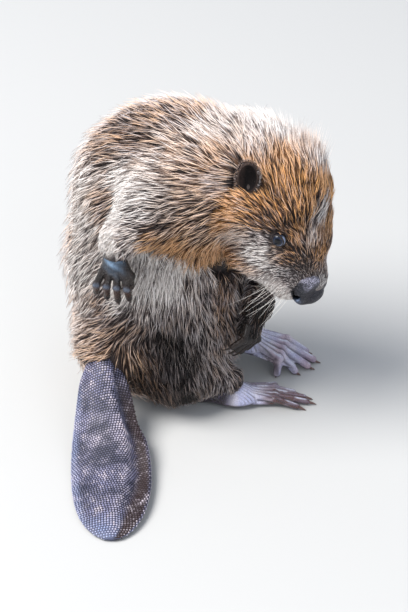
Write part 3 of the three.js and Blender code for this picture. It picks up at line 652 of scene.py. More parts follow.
def loft(rings, first=None, last=None):
    """A closed shape through rings of equal size, ending in a point at each end."""
    rings = np.asarray(rings, float)
    count, sides = rings.shape[:2]
    first = rings[0].mean(0) if first is None else first
    last = rings[-1].mean(0) if last is None else last
    points = np.concatenate([rings.reshape(-1, 3), [first, last]])
    at = np.arange(count * sides).reshape(count, sides)
    beside = np.roll(at, -1, axis=1)
    a, b, c, d = at[:-1].ravel(), beside[:-1].ravel(), beside[1:].ravel(), at[1:].ravel()
    start, end = np.full(sides, count * sides), np.full(sides, count * sides + 1)
    triangles = np.concatenate(
        [
            np.stack([a, b, c], -1),
            np.stack([a, c, d], -1),
            np.stack([start, beside[0], at[0]], -1),
            np.stack([end, at[-1], beside[-1]], -1),
        ]
    )
    return closed(points, triangles)


def ring_loft(rings):
    """A closed shape through rings that meet again, like a bent tube that bites its tail."""
    rings = np.asarray(rings, float)
    count, sides = rings.shape[:2]
    at = np.arange(count * sides).reshape(count, sides)
    beside, after = np.roll(at, -1, axis=1), np.roll(at, -1, axis=0)
    across = np.roll(beside, -1, axis=0)
    a, b, c, d = at.ravel(), beside.ravel(), across.ravel(), after.ravel()
    return closed(rings.reshape(-1, 3), np.concatenate([np.stack([a, b, c], -1), np.stack([a, c, d], -1)]))


def tube(path, radii, up, sides, flatness=1.0):
    """A closed tube along a path, with a radius at each of its points."""
    path = np.asarray(path, float)
    ahead = unit(np.gradient(path, axis=0))
    side = unit(np.cross(ahead, up))
    above = np.cross(side, ahead)
    turn = np.arange(sides) * 2 * math.pi / sides
    radii = np.asarray(radii, float)[:, None, None]
    rings = path[:, None] + radii * (
        np.cos(turn)[None, :, None] * side[:, None] + flatness * np.sin(turn)[None, :, None] * above[:, None]
    )
    return loft(rings, path[0] - ahead[0] * radii[0, 0] * 0.4, path[-1] + ahead[-1] * radii[-1, 0] * 0.6)


def joined(parts):
    """Several shapes as one set of points and triangles."""
    points, triangles, start = [], [], 0
    for part_points, part_triangles in parts:
        points.append(part_points)
        triangles.append(part_triangles + start)
        start += len(part_points)
    return np.concatenate(points), np.concatenate(triangles)


# ---------------------------------------------------------------- node trees


def add(tree, kind, links=None, **settings):
    """A node with its settings, and its inputs given as values or as sockets to link."""
    made = tree.nodes.new(kind)
    for key, value in settings.items():
        setattr(made, key, value)
    for key, value in (links or {}).items():
        if isinstance(value, bpy.types.NodeSocket):
            tree.links.new(value, made.inputs[key])
        else:
            made.inputs[key].default_value = value
    return made


def linear(code):
    """A colour written as six hexadecimal digits, in Blender's linear light."""
    parts = [int(code[i : i + 2], 16) / 255 for i in (0, 2, 4)]
    return (*(c / 12.92 if c <= 0.04045 else ((c + 0.055) / 1.055) ** 2.4 for c in parts), 1)


def sum_of(tree, a, b, how="ADD", clamp=False):
    return add(tree, "ShaderNodeMath", {0: a, 1: b}, operation=how, use_clamp=clamp).outputs[0]


def remap(tree, value, low, high, to_low=0.0, to_high=1.0):
    links = {"Value": value, "From Min": low, "From Max": high, "To Min": to_low, "To Max": to_high}
    return add(tree, "ShaderNodeMapRange", links, interpolation_type="SMOOTHSTEP").outputs[0]


def blend(tree, factor, a, b):
    links = {0: factor, 6: a, 7: b}
    return add(tree, "ShaderNodeMix", links, data_type="RGBA").outputs[2]


def attribute(tree, name):
    return add(tree, "ShaderNodeAttribute", attribute_name=name).outputs["Fac"]


def noise(tree, vector, scale, detail=2.0, roughness=0.5):
    links = {"Vector": vector, "Scale": scale, "Detail": detail, "Roughness": roughness}
    return add(tree, "ShaderNodeTexNoise", links).outputs["Fac"]


def new_group(name, inputs, outputs):
    group = bpy.data.node_groups.new(name, "ShaderNodeTree")
    for label, kind, default in inputs:
        made = group.interface.new_socket(label, in_out="INPUT", socket_type="NodeSocket" + kind)
        made.default_value = default
    for label, kind in outputs:
        group.interface.new_socket(label, in_out="OUTPUT", socket_type="NodeSocket" + kind)
    return group, add(group, "NodeGroupInput").outputs, add(group, "NodeGroupOutput").inputs


def new_material(name, roughness=0.5, **constants):
    material = bpy.data.materials.new(name)
    material.use_nodes = True
    tree = material.node_tree
    tree.nodes.clear()
    shader = add(tree, "ShaderNodeBsdfPrincipled")
    shader.inputs["Roughness"].default_value = roughness
    for key, value in constants.items():
        shader.inputs[key.replace("_", " ")].default_value = value
    out = add(tree, "ShaderNodeOutputMaterial")
    tree.links.new(shader.outputs[0], out.inputs[0])
    place = add(tree, "ShaderNodeTexCoord").outputs["Object"]
    return material, tree, shader, place


def plain_material(name, code, roughness):
    material, _, shader, _ = new_material(name, roughness)
    shader.inputs["Base Color"].default_value = linear(code)
    return material


def bump(tree, shader, height, distance, strength=1.0):
    made = add(tree, "ShaderNodeBump", {"Height": height, "Strength": strength, "Distance": distance})
    tree.links.new(made.outputs[0], shader.inputs["Normal"])


def coat_colour_group():
    """The markings that skin and hair share, with the painted highlights and painted shade that some places
    carry. Along is 0 at a hair's root and 1 at its tip.
    """
    floats = [("Along", 0.5), ("Chance", 0.5), ("Warm", 0.5), ("Pale", 0.2), ("Dark", 0.3), ("Wet", 0.0)]
    inputs = [("Place", "Vector", (0, 0, 0))] + [(name, "Float", value) for name, value in floats]
    group, given, result = new_group("coat_colour", inputs, [("Color", "Color"), ("Roughness", "Float")])
    patches = noise(group, given["Place"], 70, 3, 0.6)
    hue = sum_of(group, sum_of(group, given["Chance"], 17.0, "MULTIPLY"), 0.0, "FRACT")
    warm = sum_of(group, given["Warm"], remap(group, patches, 0.3, 0.7, -0.2, 0.2))
    warm = sum_of(group, warm, remap(group, hue, 0.0, 1.0, -0.35, 0.3), clamp=True)
    chance_pale = remap(group, given["Chance"], 0.1, 0.9, -0.3, 0.15)
    pale = sum_of(group, given["Pale"], sum_of(group, given["Warm"], -0.25, "MULTIPLY"))
    pale = sum_of(group, pale, chance_pale, clamp=True)
    spread = sum_of(group, sum_of(group, given["Dark"], 0.5, "MULTIPLY"), 0.85)
    spread = sum_of(group, sum_of(group, given["Chance"], -0.5), spread, "MULTIPLY")
    tone = sum_of(group, given["Along"], spread)
    tone = sum_of(group, tone, sum_of(group, given["Dark"], -0.6, "MULTIPLY"))
    root = blend(group, warm, linear("262022"), linear("28170C"))
    root = blend(group, sum_of(group, given["Pale"], 0.55, "MULTIPLY"), root, linear("6C605E"))
    middle = blend(group, warm, linear("877B7D"), linear("8F5F30"))
    middle = blend(group, pale, middle, linear("D3C7C0"))
    tip = blend(group, warm, linear("CEC3C6"), linear("EDAE66"))
    tip = blend(group, pale, tip, linear("FFF9F4"))
    colour = blend(group, remap(group, tone, 0.05, 0.42), root, middle)
    colour = blend(group, remap(group, tone, 0.4, 0.85), colour, tip)
    soaked = sum_of(group, given["Wet"], remap(group, patches, 0.35, 0.65, 0.65, 1.1), "MULTIPLY", clamp=True)
    colour = blend(group, sum_of(group, soaked, 0.75, "MULTIPLY"), colour, linear("17120F"))
    group.links.new(colour, result["Color"])
    group.links.new(remap(group, soaked, 0.0, 1.0, 0.46, 0.24), result["Roughness"])
    return group


COAT_COLOUR = coat_colour_group()


def coat_material(name, along=None):
    material, tree, shader, place = new_material(name)
    group = tree.nodes.new("ShaderNodeGroup")
    group.node_tree = COAT_COLOUR
    tree.links.new(place, group.inputs["Place"])
    for key in ("Warm", "Pale", "Dark", "Wet") + (("Along", "Chance") if along is None else ()):
        tree.links.new(attribute(tree, key.lower()), group.inputs[key])
    if along is not None:
        group.inputs["Along"].default_value = along
        bump(tree, shader, noise(tree, place, 900, 3, 0.7), 0.0006, 0.6)
    tree.links.new(group.outputs["Color"], shader.inputs["Base Color"])
    tree.links.new(group.outputs["Roughness"], shader.inputs["Roughness"])
    return material


hair_material = coat_material("beaver_hair")
skin_material = coat_material("beaver_skin", along=0.22)


# ---------------------------------------------------------------- skin

SKIN_CELL = 1.7
SKIN_LOW, SKIN_HIGH = (-74, -128, -6), (82, 70, 222)
COLOURS = ("warm", "pale", "dark", "wet")


def above_floor(field, floor):
    """The field cut off flat at this height."""
    return lambda points: np.maximum(field(points), floor - points[:, 2])


skin_grid = Grid(skin_field, SKIN_LOW, SKIN_HIGH, SKIN_CELL)
skin_points, skin_quads = Grid(above_floor(skin_field, 0.4), SKIN_LOW, SKIN_HIGH, SKIN_CELL).surface()
skin_weights = place_weights(skin_points)
skin_values = skin_weights @ place_values
skin = make_mesh("skin", skin_points, skin_quads, **{key: skin_values[:, VALUES[key]] for key in COLOURS})
FLESH = ("head", "neck", "chest", "belly", "arm_right", "arm_left", "thigh_right", "thigh_left")
finish_piece(skin, skin_material, "coat", *FLESH)


# ---------------------------------------------------------------- coat


def scatter(points, quads, crowd):
    """Roots spread over the faces, crowd to the square millimetre: their corners, weights and faces."""
    triangles = np.concatenate([quads[:, [0, 1, 2]], quads[:, [0, 2, 3]]])
    order = np.arange(len(quads)).repeat(2).reshape(-1, 2).T.ravel()
    a, b, c = (points[triangles[:, k]] for k in range(3))
    area = np.linalg.norm(np.cross(b - a, c - a), axis=1) / 2
    share = np.cumsum(area * crowd[triangles].mean(1))
    count = int(share[-1])
    chosen = np.searchsorted(share, (np.arange(count) + random.random(count)) / count * share[-1])
    u, v = random.random(count), random.random(count)
    over = u + v > 1
    u[over], v[over] = 1 - u[over], 1 - v[over]
    weights = np.stack([1 - u - v, u, v], -1)
    return triangles[chosen], weights, order[chosen]


def mix(corners, weights, data):
    """The data of a surface's corners, mixed at each root."""
    return np.einsum("nk,nk...->n...", weights, data[corners])


def root_place(corners, weights, quads, flat):
    """Each root's place on the unwrap, from the corners of its quad."""
    match = (quads[:, None, :] == corners[:, :, None]).argmax(2)
    return np.einsum("nk,nkd->nd", weights, np.take_along_axis(flat, match[:, :, None], 1))


def unwrap(points, quads):
    """Places on a flat unwrap of these faces, for each face corner."""
    used, index = np.unique(quads, return_inverse=True)
    patch = make_mesh("unwrap", points[used], index.reshape(quads.shape))
    bpy.context.view_layer.objects.active = patch
    patch.select_set(True)
    patch.data.uv_layers.new(name="flat")
    bpy.ops.object.mode_set(mode="EDIT")
    bpy.ops.mesh.select_all(action="SELECT")
    bpy.ops.uv.smart_project(angle_limit=math.radians(66), island_margin=0.003)
    bpy.ops.object.mode_set(mode="OBJECT")
    flat = np.zeros(len(quads) * 8)
    patch.data.uv_layers["flat"].data.foreach_get("uv", flat)
    bpy.data.meshes.remove(patch.data)
    return flat.reshape(-1, 4, 2)


PATCH = 0.003  # how far across a hair's patch of the bake map is


def tuft_mesh(name, path, across, up, width, uv, **values):
    """Solid spindle-shaped hairs. A path holds the buried root, the thickest place and the tip."""
    count = len(path)
    waist = ((0, 0.5), (-0.5, -0.3), (0.5, -0.3))
    ring = [path[:, 1] + (across * side + up * lift) * width[:, None] for side, lift in waist]
    points = np.stack([path[:, 0], *ring, path[:, 2]], 1)
    faces = np.array([(0, 2, 1), (0, 3, 2), (0, 1, 3), (4, 1, 2), (4, 2, 3), (4, 3, 1)])
    all_faces = (faces[None] + (np.arange(count) * 5)[:, None, None]).reshape(-1, 3)
    along = np.array((0, 0.55, 0.55, 0.55, 1.0))
    at_points = {key: np.repeat(value, 5) for key, value in values.items()}
    made = make_mesh(name, points.reshape(-1, 3), all_faces, along=np.tile(along, count), **at_points)
    around = np.array((0.5, 0.5, 0.0, 1.0, 0.5))
    patch = np.stack([around - 0.5, along - 0.5], -1) * PATCH
    place = (uv[:, None] + patch[None]).reshape(-1, 2)
    layer = made.data.uv_layers.new(name="OFBake")
    layer.data.foreach_set("uv", np.clip(place[all_faces.ravel()], 0, 1).astype(np.float32).ravel())
    return made


def in_ear(points):
    """True inside an ear."""
    out = np.zeros(len(points), bool)
    for side in SIDES:
        p = ear_axes(side).inside(points) / (np.array(EAR_SIZE) * 0.5)
        out |= np.linalg.norm(p, axis=1) < 1.02
    return out


def over_eye(points, reach):
    """True in front of an eye, within this reach of the line it looks along."""
    out = np.zeros(len(points), bool)
    for side, centre in eyes.items():
        p = eye_axes(side).inside(points)
        out |= (p[:, 0] > 0) & (p[:, 0] < 14) & (np.hypot(p[:, 1], p[:, 2]) < reach)
    return out


def in_tail(points, spare=0.5):
    """True inside the tail or just over it, where it comes out of the coat."""
    near = points[:, 0] < -38
    out = np.zeros(len(points), bool)
    p = points[near]
    steps = np.linspace(0.1, 0.7, 61)
    line = tail_path(steps)
    nearest = np.argmin(((p[:, None, :2] - line[None, :, :2]) ** 2).sum(-1), 1)
    t = steps[nearest]
    ahead = tail_path(t + 0.01) - tail_path(t - 0.01)
    across = unit(np.stack([-ahead[:, 1], ahead[:, 0], 0 * t], -1))
    aside = np.sum((p - line[nearest]) * across, 1)
    u = aside / tail_reach(t, np.sign(aside))
    top = tail_point(t, np.arccos(np.clip(u, -1, 1)))[:, 2]
    low = tail_point(t, -np.arccos(np.clip(u, -1, 1)))[:, 2]
    out[near] = (np.abs(u) < 1) & (p[:, 2] < top + spare) & (p[:, 2] > low - 3)
    return out


def bare(points):
    """True where no hair grows: on the eyes and the nose pad, and where an ear or the tail comes out."""
    pad = head.inside(points)
    nose = (pad[:, 0] > -2.5) & (np.abs(pad[:, 1]) < 14) & (np.abs(pad[:, 2]) < 12)
    behind = np.linalg.norm((pad - head.inside(on_nose(*NOSE_TOP))) / NOSE_TOP_RADII, axis=1) < 0.74
    cuff = hands["right"].inside(points)
    cuff = (cuff[:, 0] > -3) & (cuff[:, 0] < 12) & (np.hypot(cuff[:, 1], cuff[:, 2]) < 12)
    return nose | behind | cuff | over_eye(points, 3.9) | in_ear(points) | in_tail(points)


CLUMP_STRETCH = 7  # a clump's length for its width


def clump_of(root, part):
    """The number of each root's clump: clumps are cells drawn out along the lie of their place."""
    size = (0.8 + 0.6 * smooth(place_values[part, VALUES["length"]], 3, 14)).round(1)
    ahead = place_lie[part]
    side = unit(np.cross(ahead, (0.3, 0.5, 0.8)))
    above = np.cross(ahead, side)
    wavy = root + 1.3 * np.sin(root[:, [2, 0, 1]] * 0.5)
    ways = (ahead / CLUMP_STRETCH, side, above)
    cell = np.floor(np.stack([np.sum(wavy * way, -1) / size for way in ways], -1)).astype(int)
    _, clump = np.unique(np.column_stack([part, cell]), axis=0, return_inverse=True)
    return clump.ravel()


def coat_roots():
    """Where the hairs stand: the corners, corner weights and faces they grow on, and their roots."""
    crowd = skin_values[:, VALUES["crowd"]].copy()
    crowd[skin_points[:, 2] < 1.2] = 0
    corners, weights, face = scatter(skin_points, skin_quads, crowd)
    root = mix(corners, weights, skin_points)
    keep = ~bare(root)
    return corners[keep], weights[keep], face[keep], root[keep]


# Of every hundred hairs 45 are underfur, short, low and dark, and 16 are locks, thick and bright, on top.
# The rest are guard hairs. A hair's kind is a number from 0 to 1: underfur up to the first of these, locks
# from the second.
UNDERFUR_END, LOCKS_BEGIN = 0.45, 0.84
ROOT_SUNK = 0.6  # how far a root is buried in the skin
LOWEST = 0.5  # how near to the floor hair comes


def lay_hairs(root, part, share, value):
    """Each hair's path along the coat, its upward ways, its width and its chance, which shifts its colour.

    Hairs of one clump share a lean and a shade, and run together towards their tips.
    """
    count = len(root)
    _, normal = skin_grid.read(root)
    clump = clump_of(root, part)
    size = np.bincount(clump)
    middle = np.stack([np.bincount(clump, root[:, k]) / size for k in range(3)], -1)[clump]
    clump_chance = random.random(len(size))[clump]
    clump_lean = random.normal(size=(len(size), 3))[clump]
    own, kind = random.random(count), random.random(count)
    under, lock = kind < UNDERFUR_END, kind > LOCKS_BEGIN

    def by_kind(for_underfur, for_locks, for_guard_hair):
        return np.select([under, lock], [for_underfur, for_locks], for_guard_hair)

    chance = by_kind(0.4 * own - 0.25, 0.55 + 0.45 * own, 0.3 * clump_chance + 0.3 * own - 0.05)
    swirl = np.sin(root[:, [1, 2, 0]] * 0.11 + 1.3) + 0.6 * np.sin(root[:, [2, 0, 1]] * 0.27)
    lean = 0.09 * swirl + 0.14 * clump_lean + 0.06 * random.normal(size=(count, 3))
    lie = flat_against(unit(share @ place_lie) + lean, normal)
    stray = lock & (own > 0.7)
    stand = sum(rise * np.exp(-((root - at) ** 2).sum(1) / reach**2) for at, reach, rise in STANDING)
    spring = 0.7 * stray + stand * np.where(under, 0.5, 1)
    length = value["length"] * np.where(under, 0.75, 1.15) * (0.72 + 0.25 * clump_chance + 0.3 * own)
    lift = value["depth"] * by_kind(0.4, 0.7, 0.6) * (0.55 + 0.3 * clump_chance + 0.3 * own)
    pull = (0.5 + 0.4 * value["wet"] + 0.2 * random.random(count)).clip(0, 0.95)[:, None] * (root - middle)
    pull *= np.where(lock, 0.5, 1)[:, None]
    step = np.sqrt(np.maximum(length**2 - (lift * (1 + spring)) ** 2, 0.15 * length**2))[:, None] / 2
    path, ups, point = [root - normal * ROOT_SUNK], [normal], root
    for t, rise in ((0.5, 0.78 + 0.35 * spring), (1.0, 1.0 + spring)):
        point = point + lie * step
        now, slope = skin_grid.read(point)
        point = point + slope * (lift * rise - now)[:, None]
        lie = flat_against(lie + 0.06 * clump_lean, slope)
        path.append(point - pull * t**1.3)
        ups.append(slope)
    path, ups = np.stack(path, 1), np.stack(ups, 1)
    path[:, :, 2] = np.maximum(path[:, :, 2], LOWEST)
    width = value["width"] * random.uniform(0.6, 1.0, count) * by_kind(1.0, 1.5, 0.8)
    return path, ups, width, chance


HAIRS_IN_A_PIECE = 33000


def grow_coat():
    """Hairs all over the skin, as one or more pieces for each part of the body."""
    corners, weights, face, root = coat_roots()
    part = np.argmax(place_weights(root), 1)
    share = mix(corners, weights, skin_weights)
    value = dict(zip(NAMES, (share @ place_values).T))
    path, ups, width, chance = lay_hairs(root, part, share, value)
    across = unit(np.cross(ups[:, 1], path[:, -1] - path[:, 0]))
    clear = np.ones(len(root), bool)
    for at in (path[:, 1], path[:, 2], (path[:, 1] + path[:, 2]) / 2):
        clear &= ~(in_ear(at) | over_eye(at, 3.2) | in_tail(at, 0.0))
    for number, name in enumerate(PIECES):
        mine = np.nonzero((place_piece[part] == number) & clear)[0]
        pieces = max(1, math.ceil(len(mine) / HAIRS_IN_A_PIECE))
        for turn, chosen in enumerate(np.array_split(mine, pieces)):
            faces, index = np.unique(face[chosen], return_inverse=True)
            flat = unwrap(skin_points, skin_quads[faces])[index.ravel()]
            uv = root_place(corners[chosen], weights[chosen], skin_quads[face[chosen]], flat)
            hairs = (path[chosen], across[chosen], ups[chosen, 1], width[chosen], uv)
            colours = {key: value[key][chosen] for key in COLOURS}
            made = tuft_mesh(f"coat_{name}_{turn + 1}", *hairs, chance=chance[chosen], **colours)
            finish_piece(made, hair_material, "coat")


# ---------------------------------------------------------------- hands and feet


def skin_material_of(name, roughness, shades, grain, depth, layers=(), **constants):
    """Bare skin: shades blended by slow noise, layers of colour laid on by attributes, and a grain."""
    material, tree, shader, place = new_material(name, roughness, **constants)
    slow = remap(tree, noise(tree, place, 70, 3, 0.6), 0.35, 0.65)
    colour = blend(tree, slow, linear(shades[0]), linear(shades[1]))
    for key, code in layers:
        colour = blend(tree, attribute(tree, key), colour, linear(code))
    cells = add(tree, "ShaderNodeTexVoronoi", {"Vector": place, "Scale": grain}, feature="DISTANCE_TO_EDGE")
    creases = remap(tree, cells.outputs["Distance"], 0.0, 0.12)
    # painted shade: the grain's creases are darkened towards the third shade
    colour = blend(tree, remap(tree, creases, 0, 1, 0.35, 0.0), colour, linear(shades[2]))
    tree.links.new(colour, shader.inputs["Base Color"])
    height = sum_of(tree, creases, noise(tree, place, grain * 1.7, 2), "ADD")
    bump(tree, shader, height, depth, 0.7)
    return material


def claw(start, ahead, up, length, radius, drop):
    """A curved claw that begins inside the tip of a digit."""
    t = np.linspace(0, 1, 7)
    path = start + np.outer(t * length, ahead) - np.outer(drop * t**2, up)
    radii = radius * np.sqrt(1 - 0.97 * t)
    path[:, 2] = np.maximum(path[:, 2], radii)
    return tube(path, radii, up, 8, 0.75)


def digit(axes, joints, radii, soft, claw_length, claw_radius, drop):
    """The rods of one finger or toe, slightly swollen at the joints, and its claw."""
    points = [axes.at(*joint) for joint in joints]
    forms = [rod(a, ra, b, rb, soft) for a, ra, b, rb in zip(points, radii, points[1:], radii[1:])]
    forms += [ball(p, (r * 1.14,) * 3, axes, soft * 0.5) for p, r in zip(points[1:-1], radii[1:-1])]
    ahead = unit(points[-1] - points[-2])
    tip = points[-1] + ahead * radii[-1] * 0.2
    return forms, claw(tip, ahead, axes.up, claw_length, claw_radius, drop)


def with_digits(forms, digits):
    """The forms with those of the digits after them, and the digits' claws."""
    for digit_forms, _ in digits:
        forms = forms + digit_forms
    return forms, [claw_shape for _, claw_shape in digits]


# the wrist's start and end along the hand, each with its radius, and how softly it melts in
WRISTS = {"right": (-5, 7.4, 6, 6.2, 4), "left": (-9, 4.6, 8, 5.2, 5)}
THUMBS = {
    "right": ((9, -6, 0), (17, -11, 0.5), (25, -11.5, -2)),
    "left": ((10, -6, -1), (16, -10, -2), (20, -11, -4)),
}


def hand_parts(side):
    axes = hands[side]
    start, start_radius, end, end_radius, soft = WRISTS[side]
    wrist = rod(axes.at(start), start_radius, axes.at(end), end_radius, soft)
    palm = ball(axes.at(12), (9, 7.2, 4.4), axes, 5)
    digits = []
    for finger in range(4):
        spread = finger - 1.5
        reach = 36.5 - abs(spread + 0.3) * 2.4
        knuckles = [(8, 2.8 * spread, 1), (16, 4.6 * spread, 1.4), (25, 6.6 * spread, 3.2)]
        joints = [*knuckles, (reach, 7.2 * spread, -2.0)]
        digits.append(digit(axes, joints, (2.5, 2.4, 2.35, 2.1), 1.1, 6.0, 1.3, 2.2))
    digits.append(digit(axes, THUMBS[side], (2.8, 2.5, 2.1), 2.5, 3.5, 1.3, 1.2))
    return with_digits([wrist, palm], digits)


TOES = ((-1.75, 84), (-1, 95), (0, 102), (1, 104), (2, 97))  # each toe's place across the foot, and its reach
WEBS = (-1.4, -0.5, 0.5, 1.5)


def foot_parts(side):
    axes, splay, soft = feet[side], SPLAY[side], 5.0

    def across(place, spread):
        return -INNER[side] * place * spread * splay

    forms = [
        ball(axes.at(6, 0, 9), (9.5, 7.6, 8.8), axes, soft),  # heel
        rod(axes.at(8, 0, 8.6), 8, axes.at(42, 1.5, 8), 7.4, soft),  # sole
        rod(axes.at(38, 0, 17), 7.6, axes.at(54, 2, 8), 6.2, soft),  # instep
        ball(axes.at(50, 2, 6), (16, 7.6 + 7 * splay, 5.8), axes, soft),
    ]
    slim = 0.3 + 0.9 * splay
    digits = []
    for place, reach in TOES:
        along, aside = reach - 6, across(place, 9.8)
        tip = (along, aside, (2.7 - axes.at(along, aside)[2]) / axes.up[2])
        knuckles = ((42, 2.4, 10.5), (57, 5, 8.8), (76, 7.6, 7.2))
        joints = [*((along, across(place, spread), up) for along, spread, up in knuckles), tip]
        radii = (2.4 * slim, 2.9 * slim, 2.9 * slim, 2.5 * slim)
        digits.append(digit(axes, joints, radii, 1.2, 6, 1.3, 0.8))
    forms, claws = with_digits(forms, digits)
    for gap in WEBS:
        forms.append(ball(axes.at(68, across(gap, 7.2), 3.6), (21, 4.2 * splay + 1, 1.7), axes, 1.6))
    return forms, claws


def build_limb_end(name, axes, parts, cell, reach, skin_and_claw, layers):
    """One hand or foot, inside a box that reaches so far along, across and above, and its claws."""
    forms, claws = parts
    field = above_floor(field_of(forms), 0.05)
    low, high = box_in(axes, reach)
    points, quads = field_mesh(field, low - 2, high + 2, cell)
    slope = np.stack([field(points + step) - field(points - step) for step in 0.3 * np.eye(3)], -1)
    made = make_mesh(name, points, quads, **layers(axes.inside(points), unit(slope)))
    finish_piece(made, skin_and_claw[0], "foot_skin", name)
    finish_piece(make_mesh(name + "_claws", *joined(claws)), skin_and_claw[1], "foot_skin")


def hand_layers(strength):
    """A painted blue-grey sheen, standing for the sky's reflection, on the back of the hand and the knuckles,
    and brown fingers.
    """

    def layers(p, _):
        over = smooth(p[:, 2], 0.5, 4.6)
        # painted highlights across the knuckles, and the painted sheen's patch on the back of the hand
        knuckle = 0.22 * np.exp(-(((p[:, 0] - 24.5) / 1.6) ** 2)) * smooth(p[:, 2], 4.0, 5.4)
        patch = np.exp(-(((p[:, 0] - 4) / 8.5) ** 2) - ((p[:, 1] - 1.0 + 0.2 * p[:, 0]) / 5.5) ** 2)
        patch *= 0.8 + 0.35 * np.sin(0.9 * p[:, 0] + 0.6 * p[:, 1])
        sheen = over * np.maximum(patch, knuckle)
        brown = strength * smooth(p[:, 0], 20, 28) * smooth(p[:, 2], 0, 3)
        return {"sheen": strength * sheen, "brown": brown}

    return layers


FOOT_BROWN = {"right": 0.95, "left": 0.15}


def foot_layers(side):
    """Pale insteps and toes, brown on the right foot's outer toes, dark at the heel, dark under the sole (the
    sole's own colour and partly painted shade), painted shade between the toes and painted highlights on the
    toes' ridges.
    """

    def layers(p, normal):
        # faces turned down are darker: partly the sole's own dark skin, partly painted shade
        sole = 1 - smooth(normal[:, 2], -0.55, -0.05)
        aside = p[:, 1] * -INNER[side] / SPLAY[side]
        toe = aside / (2.4 + 7.4 * smooth(p[:, 0], 42, 98))
        outer = smooth(aside, -14, 6) * smooth(p[:, 0], 60, 80)
        inner = 0.6 * smooth(-aside, 0, 7) * smooth(p[:, 0], 45, 60)
        streaks = 1.15 + 0.3 * np.sin(3.1 * p[:, 1] + 0.15 * p[:, 0])
        brown = np.maximum(outer, inner) * FOOT_BROWN[side] * streaks
        pink = 0.6 * smooth(p[:, 0], 84, 98) + 0.5 * np.exp(-(((p[:, 0] - 74) / 5) ** 2))
        heel = 1 - smooth(p[:, 0] - 0.3 * p[:, 2], 38, 50)
        # painted highlights along the tops of the toes
        shine = np.exp(-(((toe - np.round(toe)) / 0.16) ** 2)) * smooth(normal[:, 2], 0.5, 0.95)
        shine *= smooth(np.sin(0.33 * p[:, 0] + 2.1 * np.round(toe)), -0.1, 0.8) * smooth(p[:, 0], 44, 56)
        # painted shade in the creases between the toes
        crease = 0.75 * smooth(np.abs(toe - np.round(toe)), 0.25, 0.5) * smooth(p[:, 0], 48, 60)
        dark = np.clip(0.9 * sole + heel + crease * smooth(normal[:, 2], -0.2, 0.4), 0, 1)
        brown = np.clip(brown, 0, 1)
        return {"pink": pink * (1 - brown), "brown": brown, "dark": dark, "shine": 0.95 * shine * (1 - dark)}

    return layers


HAND_REACH = ((-22, 40), (-16, 16), (-10, 10))
FOOT_REACH = ((-6, 112), (-32, 32), (-2, 30))
# The strength scales the painted sheen and the brown together.
HAND_STRENGTH = {"right": 1.0, "left": 0.0}  # how clear the colours of the back of the hand are


def build_hands_and_feet():
    # brown fingers, and a painted blue sheen for the sky's reflection
    shades, layers = ("1C1614", "2A201B", "0B0908"), (("brown", "40291F"), ("sheen", "8CABCB"))
    hand_skin = skin_material_of("hand_skin", 0.24, shades, 900, 0.0004, layers)
    shades = ("CDCFF0", "F4EEFC", "84749A")
    # the dark layer holds painted shade under the sole and between the toes; the glint layer is a painted
    # highlight
    layers = (("pink", "C8908C"), ("brown", "5E382A"), ("dark", "241814"), ("shine", "EDEFFF"))
    wet = {"Coat_Weight": 0.6, "Coat_Roughness": 0.1}
    foot_skin = skin_material_of("foot_skin", 0.25, shades, 700, 0.0006, layers, **wet)
    hand_pair = (hand_skin, plain_material("dark_claw", "2A211D", 0.3))
    foot_pair = (foot_skin, plain_material("brown_claw", "6B5048", 0.35))
    fine = 0.62
    for side in SIDES:
        marks = hand_layers(HAND_STRENGTH[side])
        build_limb_end(f"hand_{side}", hands[side], hand_parts(side), fine, HAND_REACH, hand_pair, marks)
        marks = foot_layers(side)
        build_limb_end(f"foot_{side}", feet[side], foot_parts(side), fine * 1.3, FOOT_REACH, foot_pair, marks)


# ---------------------------------------------------------------- ears, nose, eyes and whiskers


def ear_forms(axes):
    """The ear's outer form, and the ear with its dish taken out."""
    thick, wide, high = EAR_SIZE
    whole = ball(axes.origin, (thick * 0.48, wide * 0.49, high * 0.49), axes, 2)
    root = rod(axes.at(-3, 0, -high * 0.36), 3.6, axes.at(-5, 0, -high * 0.55), 6, 2)
    dish = ball(axes.at(thick * 0.5, 0, 0.4), (thick * 0.85, wide * 0.42, high * 0.43), axes, 1.2)
    return field_of([whole, root]), field_of([whole, root], [dish])


def ear_fringe(side, axes, points, quads, inner):
    """Short hair on the back of the ear and along its rim, paler at the rear edge."""
    crowd = (1 - 0.8 * smooth(inner, 0.05, 0.4)) * 4.0
    corners, weights, face = scatter(points, quads, crowd)
    root = mix(corners, weights, points)
    a, b, c = (points[corners[:, k]] for k in range(3))
    normal = unit(np.cross(b - a, c - a))
    p = axes.inside(root)
    rim = unit(p[:, 1:2] * axes.side / 8 + p[:, 2:] * axes.up / 12)
    lie = unit(0.7 * rim + 0.35 * axes.up - 0.1 * axes.forward + 0.25 * random.normal(size=root.shape))
    length = random.uniform(1.0, 2.4, len(root))[:, None]
    middle = root + 0.3 * normal + 0.5 * length * lie
    path = np.stack([root - 0.3 * normal, middle, root + 0.5 * normal + length * lie], 1)
    across = unit(np.cross(normal, lie))
    uv = root_place(corners, weights, quads[face], unwrap(points, quads)[face])
    rear = smooth(-p[:, 1] * SIDES[side], 1, 7)
    inside = smooth(inner[corners].mean(1), 0.05, 0.4)
    dark = np.maximum(0.9 - 0.5 * rear, 1.2 * inside)
    colours = {"warm": 0.35 - 0.2 * rear, "pale": 0.5 * rear * (1 - inside), "dark": dark, "wet": inside}
    chance = random.random(len(root))
    fringe = tuft_mesh(f"coat_ear_{side}", path, across, normal, 0.2 + 0 * rear, uv, chance=chance, **colours)
    finish_piece(fringe, hair_material, "coat")


EAR_REACH = ((-9, 7), (-12, 12), (-17, 15))


